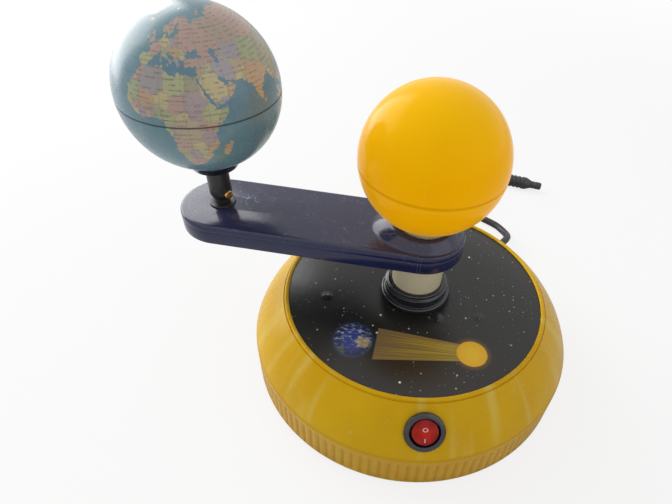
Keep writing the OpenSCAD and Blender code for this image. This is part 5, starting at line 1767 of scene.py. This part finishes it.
@dataclass
class Globe:
    """The printed globe in its two halves, with the world map kept as a colour on its points."""

    radius: float = 40.5
    wall: float = 1.6
    away: float = 121.5
    height: float = 175.2
    hole: float = 4.5
    turn: float = 98.0
    grid: tuple[int, int] = (720, 360)
    border: Colour = (0.16, 0.09, 0.07)

    @staticmethod
    def spots(line: str) -> Line:
        """Return an outline's corners, each longitude and latitude."""
        return [tuple(float(number) for number in spot.split()) for spot in line.split(",")]

    def inside(self, lon: np.ndarray, lat: np.ndarray, line: str) -> np.ndarray:
        """Say of each place whether it lies inside an outline.

        Args:
            lon: The places' longitudes.
            lat: The places' latitudes.
            line: The outline.

        Returns:
            True for each place inside.
        """
        corners = self.spots(line)
        hit = np.zeros(lon.shape, bool)
        for (lon_a, lat_a), (lon_b, lat_b) in zip(corners, corners[1:] + corners[:1]):
            if lat_a == lat_b:
                continue
            crosses = (lat_a > lat) != (lat_b > lat)
            hit ^= crosses & (lon < (lon_b - lon_a) * (lat - lat_a) / (lat_b - lat_a) + lon_a)
        return hit

    def world(self) -> np.ndarray:
        """Paint the map on a grid of longitude and latitude.

        Returns:
            Red, green, blue and land share, row by row from the south.
        """
        wide, high = self.grid
        lon, lat = np.meshgrid((np.arange(wide) + 0.5) * 360 / wide - 180,
                               (np.arange(high) + 0.5) * 180 / high - 90)
        ripple = np.sin(lon * 0.9 + np.cos(lat * 0.7) * 2) * 0.45 + np.sin(lat * 1.7 + lon * 0.35) * 0.4
        wavy_lon, wavy_lat = lon + ripple * 0.7, lat + np.sin(lon * 1.3 + lat * 0.6) * 0.35
        land = np.zeros(lon.shape, bool)
        for line in OUTLINES.values():
            land |= self.inside(wavy_lon, wavy_lat, line)
        for line in LAKES.values():
            land &= ~self.inside(wavy_lon, wavy_lat, line)
        land |= lat < -70 + 4 * np.sin(np.radians(lon * 2.3)) + 2 * np.sin(np.radians(lon * 7))
        rows = [entry.split() for entry in COUNTRIES.split(";")]
        best = np.full(lon.shape, np.inf)
        owner = np.zeros(lon.shape, int)
        for number, (_, at_lon, at_lat, reach) in enumerate(rows):
            apart = np.abs((wavy_lon - float(at_lon) + 180) % 360 - 180) * np.cos(np.radians(lat))
            far = apart ** 2 + (wavy_lat - float(at_lat)) ** 2 - float(reach) ** 2
            nearer = far < best
            best[nearer] = far[nearer]
            owner[nearer] = number
        colours = np.array([INKS[row[0]] for row in rows])[owner]
        edge = (owner != np.roll(owner, 1, 1)) | (owner != np.roll(owner, 1, 0))
        colours = np.where(edge[..., None], 0.45 * colours + 0.55 * np.array(self.border), colours)
        return np.concatenate([colours, land[..., None].astype(float)], 2)

    def paint(self, piece: Thing, world: np.ndarray) -> None:
        """Put the map's colour on each of a half's points.

        Args:
            piece: The half.
            world: The painted grid.
        """
        mesh = piece.data
        spots = np.empty(len(mesh.vertices) * 3, np.float32)
        mesh.vertices.foreach_get("co", spots)
        at = spots.reshape(-1, 3) / MM - (-self.away, 0.0, self.height)
        wide, high = self.grid
        lon = (np.degrees(np.arctan2(at[:, 1], at[:, 0])) + self.turn + 180) % 360 - 180
        lat = np.degrees(np.arcsin(np.clip(at[:, 2] / np.linalg.norm(at, axis=1), -1, 1)))
        column = ((lon + 180) * wide / 360).astype(int) % wide
        row = np.clip(((lat + 90) * high / 180).astype(int), 0, high - 1)
        layer = mesh.color_attributes.new(name="map", type="FLOAT_COLOR", domain="POINT")
        layer.data.foreach_set("color", world[row, column].astype(np.float32).ravel())

    def build(self) -> None:
        """Make and paint the two halves."""
        world = self.world()
        for upper, name in ((True, "north"), (False, "south")):
            half = ball_half(self.radius, self.wall, (self.away, self.height), upper, self.hole, 130, 480, 24)
            self.paint(half, world)
            Bench.deliver(half, f"globe_{name}_printed", Body.EARTH, "globe_print", GlobePrint(),
                          f"globe_{name}")


@dataclass(frozen=True)
class Gland:
    """Where the cord leaves the shell: the angle, the height and the strain relief's end."""

    azimuth: float = 59.0
    height: float = 11.2
    end: float = 132.0


@dataclass
class Fittings:
    """The strain relief, the slender capped plug and the coil's tie."""

    gland: Gland = Gland()
    relief_foot: Sequence[Sequence[float]] = (
        (0.0, 98.7), (6.0, 98.7, 0.3), (6.0, 101.3), (4.45, 101.3), (4.45, 104.9), (6.5, 104.9, 0.2),
        (6.5, 107.2, 0.6), (5.4, 108.7, 0.5))
    tie_blocks: Sequence[tuple[Point, Point, float]] = (((-48.1, 192.0, 6.655), (20.8, 6.0, 13.29), 3.6),
                                                        ((-48.1, 192.0, 6.37), (19.4, 9.0, 12.56), 2.9))
    plug_at: Point = (63.3, 225.2, 6.0)
    plug_turn: float = -8.0
    grip: float = 5.9
    nose: float = 3.6
    boot_end: float = 11.0
    grip_end: float = 32.0
    collar_end: float = 37.5
    cap_end: float = 47.8

    @staticmethod
    def ribs(start: float, end: float, wide: float, narrow: float, count: int) -> list[Point]:
        """Draw a tapering line with soft grooves across it.

        Args:
            start: Where it starts.
            end: Where it ends.
            wide: Radius at the start.
            narrow: Radius at the end.
            count: How many grooves it has.

        Returns:
            Corners of radius, height and rounding.
        """
        line = []
        step = (end - start) / count
        for number in range(count):
            low = start + step * number
            for share, sunk in ((0.12, 0.0), (0.22, 0.55), (0.48, 0.55), (0.58, 0.0)):
                up = low + step * share
                line.append((wide + (narrow - wide) * (up - start) / (end - start) - sunk, up, 0.22))
        return line

    def relief(self) -> Thing:
        """Make the strain relief, its long cone ribbed."""
        profile = [*self.relief_foot, *self.ribs(110.0, 130.5, 5.3, 3.75, 7), (3.62, self.gland.end, 0.3),
                   (0.0, self.gland.end)]
        piece = Bench.turned(rounded(profile, 3, False), 64, closed=False)
        return Bench.seat(piece, lying((0.0, 0.0, self.gland.height), self.gland.azimuth))

    def tie(self) -> Thing:
        """Make the flat strap round the coil's turns."""
        loops = []
        for middle, size, corner in self.tie_blocks:
            block = Bench.block(size, middle)
            x, y, z = middle
            wide, deep, high = size
            Bench.soften(block, lambda at: abs(at.y - y) < deep * 0.45 and abs(at.x - x) > wide * 0.45
                         and abs(at.z - z) > high * 0.45, corner, 8)
            loops.append(block)
        Bench.combine(loops[0], loops[1])
        return loops[0]

    def build(self) -> list[Thing]:
        """Make the pieces that go with the cord.

        Returns:
            The strain relief, the boot, the grip, the cap and the tie.
        """
        sheath = Rubber("moulded_on", (0.016, 0.016, 0.017), (0.04, 0.04, 0.041), 0.42)
        place = lying(self.plug_at, self.plug_turn)
        boot = rounded([(0.0, 0.0), (3.5, 0.0, 0.15), *self.ribs(0.8, 9.6, 3.95, 4.6, 4),
                        (4.6, self.boot_end), (0.0, self.boot_end)], 3, False)
        sunk = self.grip - 0.6
        grooves = [(out, start + along, 0.3) for start in (18.0, 22.0, 26.0)
                   for out, along in ((self.grip, 0.0), (sunk, 0.5), (sunk, 1.5), (self.grip, 2.0))]
        grip = rounded([(0.0, self.boot_end), (sunk, self.boot_end, 0.2), (self.grip, 12.4, 0.6), *grooves,
                        (self.grip, self.grip_end, 0.8), (self.nose, self.collar_end, 0.25),
                        (0.0, self.collar_end)], 4, False)
        neck = self.nose - 0.25
        cap = rounded([(0.0, self.collar_end), (self.nose - 0.1, self.collar_end, 0.1),
                       (self.nose, 38.2, 0.2), (self.nose, 40.2, 0.15), (neck, 40.5, 0.1), (neck, 41.1, 0.1),
                       (self.nose, 41.4, 0.15), (self.nose, self.cap_end, 2.4), (0.0, self.cap_end)], 6, False)
        made = [Bench.deliver(self.relief(), "strain_relief_ribbed", Body.BASE, "cord_rubber", sheath,
                              "strain_relief")]
        for name, profile, slot, finish, node in (
                ("plug_boot_ribbed", boot, "cord_rubber", sheath, "plug_boot"),
                ("plug_grip", grip, "black_plastic", SATIN_BLACK, "plug_body"),
                ("plug_cap_round", cap, "black_plastic", GLOSS_BLACK, "plug_cap")):
            piece = Bench.seat(Bench.turned(profile, 64, closed=False), place)
            made.append(Bench.deliver(piece, name, Body.BASE, slot, finish, node))
        made.append(Bench.deliver(self.tie(), "coil_tie", Body.BASE, "black_plastic", SATIN_BLACK))
        return made


@dataclass
class PowerCord:
    """The cord from its strain relief to the plug, wound behind the base into a neat coil."""

    diameter: float = 6.0
    gland: Gland = Gland()
    coil_centre: Spot = (-13.0, 192.0)
    coil_radius: float = 45.0
    coil_turns: int = 6
    coil_pitch: float = 6.6
    coil_rings: int = 24
    floor_gap: float = 0.1
    layer_gap: float = 0.45
    route_in: Sequence[Point] = (
        (72.4, 121.2, 10.4), (73.6, 125.2, 9.3), (74, 129.4, 7.6), (73.7, 133.6, 5.8), (72.7, 137.6, 4.4),
        (71, 141.4, 3.5), (68.7, 144.9, 3.1), (65.7, 148, 3.1), (62, 150.6, 3.1), (56, 154.1, 3.1),
        (50, 157.5, 3.1), (44, 161, 3.1), (40.7, 163.5, 3.1), (37.7, 166.6, 3.1), (35.3, 170, 3.1),
        (33.6, 173.8, 3.1), (32.4, 177.8, 3.1), (32, 182, 3.1), (32, 186, 3.1))
    route_out: Sequence[Point] = (
        (32, 198, 9.55), (32, 202, 9.55), (32.8, 208.2, 9), (35.2, 214, 7.6), (39, 219, 6), (44, 222.8, 4.8),
        (49.8, 225.2, 4.6), (56, 226, 5.5), (59.3, 225.8, 6), (63.3, 225.2, 6))

    def start(self, out: float) -> Point:
        """Return a point on the strain relief's line, out from the axis."""
        turn = math.radians(self.gland.azimuth)
        return (out * math.cos(turn), out * math.sin(turn), self.gland.height)

    def coil(self) -> list[Point]:
        """Return the coil's points: it spirals in, climbs a layer and spirals out again."""
        half = self.coil_turns * 180
        low = self.diameter / 2 + self.floor_gap
        points = []
        for ring in range(self.coil_turns * self.coil_rings + 1):
            angle = 360 * ring / self.coil_rings
            radius = self.coil_radius - self.coil_pitch * (half - abs(angle - half)) / 360
            climb = max(0.0, min(1.0, (angle - half + 90) / 180))
            points.append((self.coil_centre[0] + radius * math.cos(math.radians(angle)),
                           self.coil_centre[1] + radius * math.sin(math.radians(angle)),
                           low + (self.diameter + self.layer_gap) * climb))
        return points

    def points(self) -> list[Point]:
        """Return the whole route in metres."""
        first = [self.start(self.gland.end), self.start(self.gland.end + 5)]
        return [mm(*point) for point in [*first, *self.route_in, *self.coil(), *self.route_out]]

    def build(self, fittings: Sequence[Thing]) -> None:
        """Make the cord as one tube along its whole route.

        Args:
            fittings: The pieces that go with it; not used.
        """
        points = self.points()
        Bench.clear()
        bpy.ops.curve.primitive_bezier_curve_add()
        cord = bpy.context.object
        cord.name = "power_cord_outer"
        cord.data.splines.clear()
        line = cord.data.splines.new("POLY")
        line.points.add(len(points) - 1)
        for knot, point in zip(line.points, points):
            knot.co = (*point, 1.0)
        cord.data.dimensions = "3D"
        cord.data.bevel_depth = self.diameter / 2 * MM
        cord.data.bevel_resolution = 5
        cord.data.use_fill_caps = True
        for spline in cord.data.splines:
            spline.use_smooth = True
        cord.data.materials.append(Rubber("cord_sheath", rough=0.45).make())
        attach(cord, Body.BASE.value)
        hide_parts("power_cord", "cord_coil", "plug_lead")


class Workings:
    """The pieces that keep the frame's own shape: gears, screws, plate, motor, bulb and wires.

    Each finish stands with the names of the nodes that it goes on.
    """

    finishes: Sequence[tuple[Finish, str]] = (
        (Plastic("white_nylon", (0.66, 0.65, 0.61), (0.56, 0.55, 0.50), 0.4, dust=0.15),
         "pedestal thrust_washer fixed_pulley lamp_holder main_gear earth_pulley globe_hub motor_pinion"),
        (Metal("zinc_screws", (0.58, 0.58, 0.6), 0.3),
         "plate_screws pedestal_screws motor_screws block_screws arm_screws"),
        (Metal("motor_steel", (0.5, 0.51, 0.53), 0.34),
         "lamp_tube motor_case motor_ears plug_barrel motor_shaft"),
        (Metal("brass_parts", (0.62, 0.42, 0.16), 0.3), "switch_terminals foot_bush"),
        (Rubber("foot_rubber"), "foot_ring"),
        (Rubber("belt_rubber", (0.02, 0.02, 0.02), (0.05, 0.05, 0.048), 0.6), "drive_belt"),
        (Plastic("grey_plate", (0.12, 0.12, 0.125), (0.16, 0.16, 0.162), 0.5, scratched=0.8, dust=0.3),
         "bottom_plate"),
        (Plastic("nut_black", (0.02, 0.02, 0.021), (0.035, 0.035, 0.036), 0.4, dust=0.2), "collar_nut"),
        (Metal("bulb_cap_tin", (0.6, 0.58, 0.52), 0.35, (1.0, 1.0, 30.0)), "bulb_cap"),
        (Plastic("block_ivory", (0.64, 0.6, 0.48), (0.56, 0.52, 0.4), 0.45, dust=0.2), "terminal_block"),
        (Plastic("wire_sleeves", (0.28, 0.09, 0.03), (0.2, 0.06, 0.02), 0.4, dust=0.1), "wiring"),
    )

    @staticmethod
    def glass() -> Material:
        """Return the bulb's clear glass, a little hazy."""
        tree = Tree("bulb_glass")
        at = tree.place()
        haze = tree.noise(at, 160.0, 4.0)
        tone = tree.mix(haze.ramp(0.45, 0.8), (0.95, 0.96, 0.95), (0.8, 0.8, 0.74))
        return tree.surface(tone, haze * 0.12 + 0.02, haze, 0.00002, Transmission_Weight=1.0, IOR=1.48)

    def build(self) -> None:
        """Give each of the frame's own nodes its finish."""
        dressed = {"bulb_glass": self.glass()}
        for finish, nodes in self.finishes:
            dressed |= dict.fromkeys(nodes.split(), finish.make())
        for node, material in dressed.items():
            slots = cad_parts[node].data.materials
            slots.clear()
            slots.append(material)
        LOG.info("workings: %d pieces finished", len(dressed))


def main() -> None:
    """Build everything in order."""
    logging.basicConfig(level=logging.INFO, format="%(message)s")
    Stage().build()
    PowerCord().build(Fittings().build())
    base = Base()
    switch = Switch(place=base.cone(base.switch_share), slope=base.slope)
    base.build(switch)
    switch.build()
    Column().build()
    Sun().build()
    Arm().build()
    Stem().build()
    Globe().build()
    Workings().build()


if __name__ == "__main__":
    main()
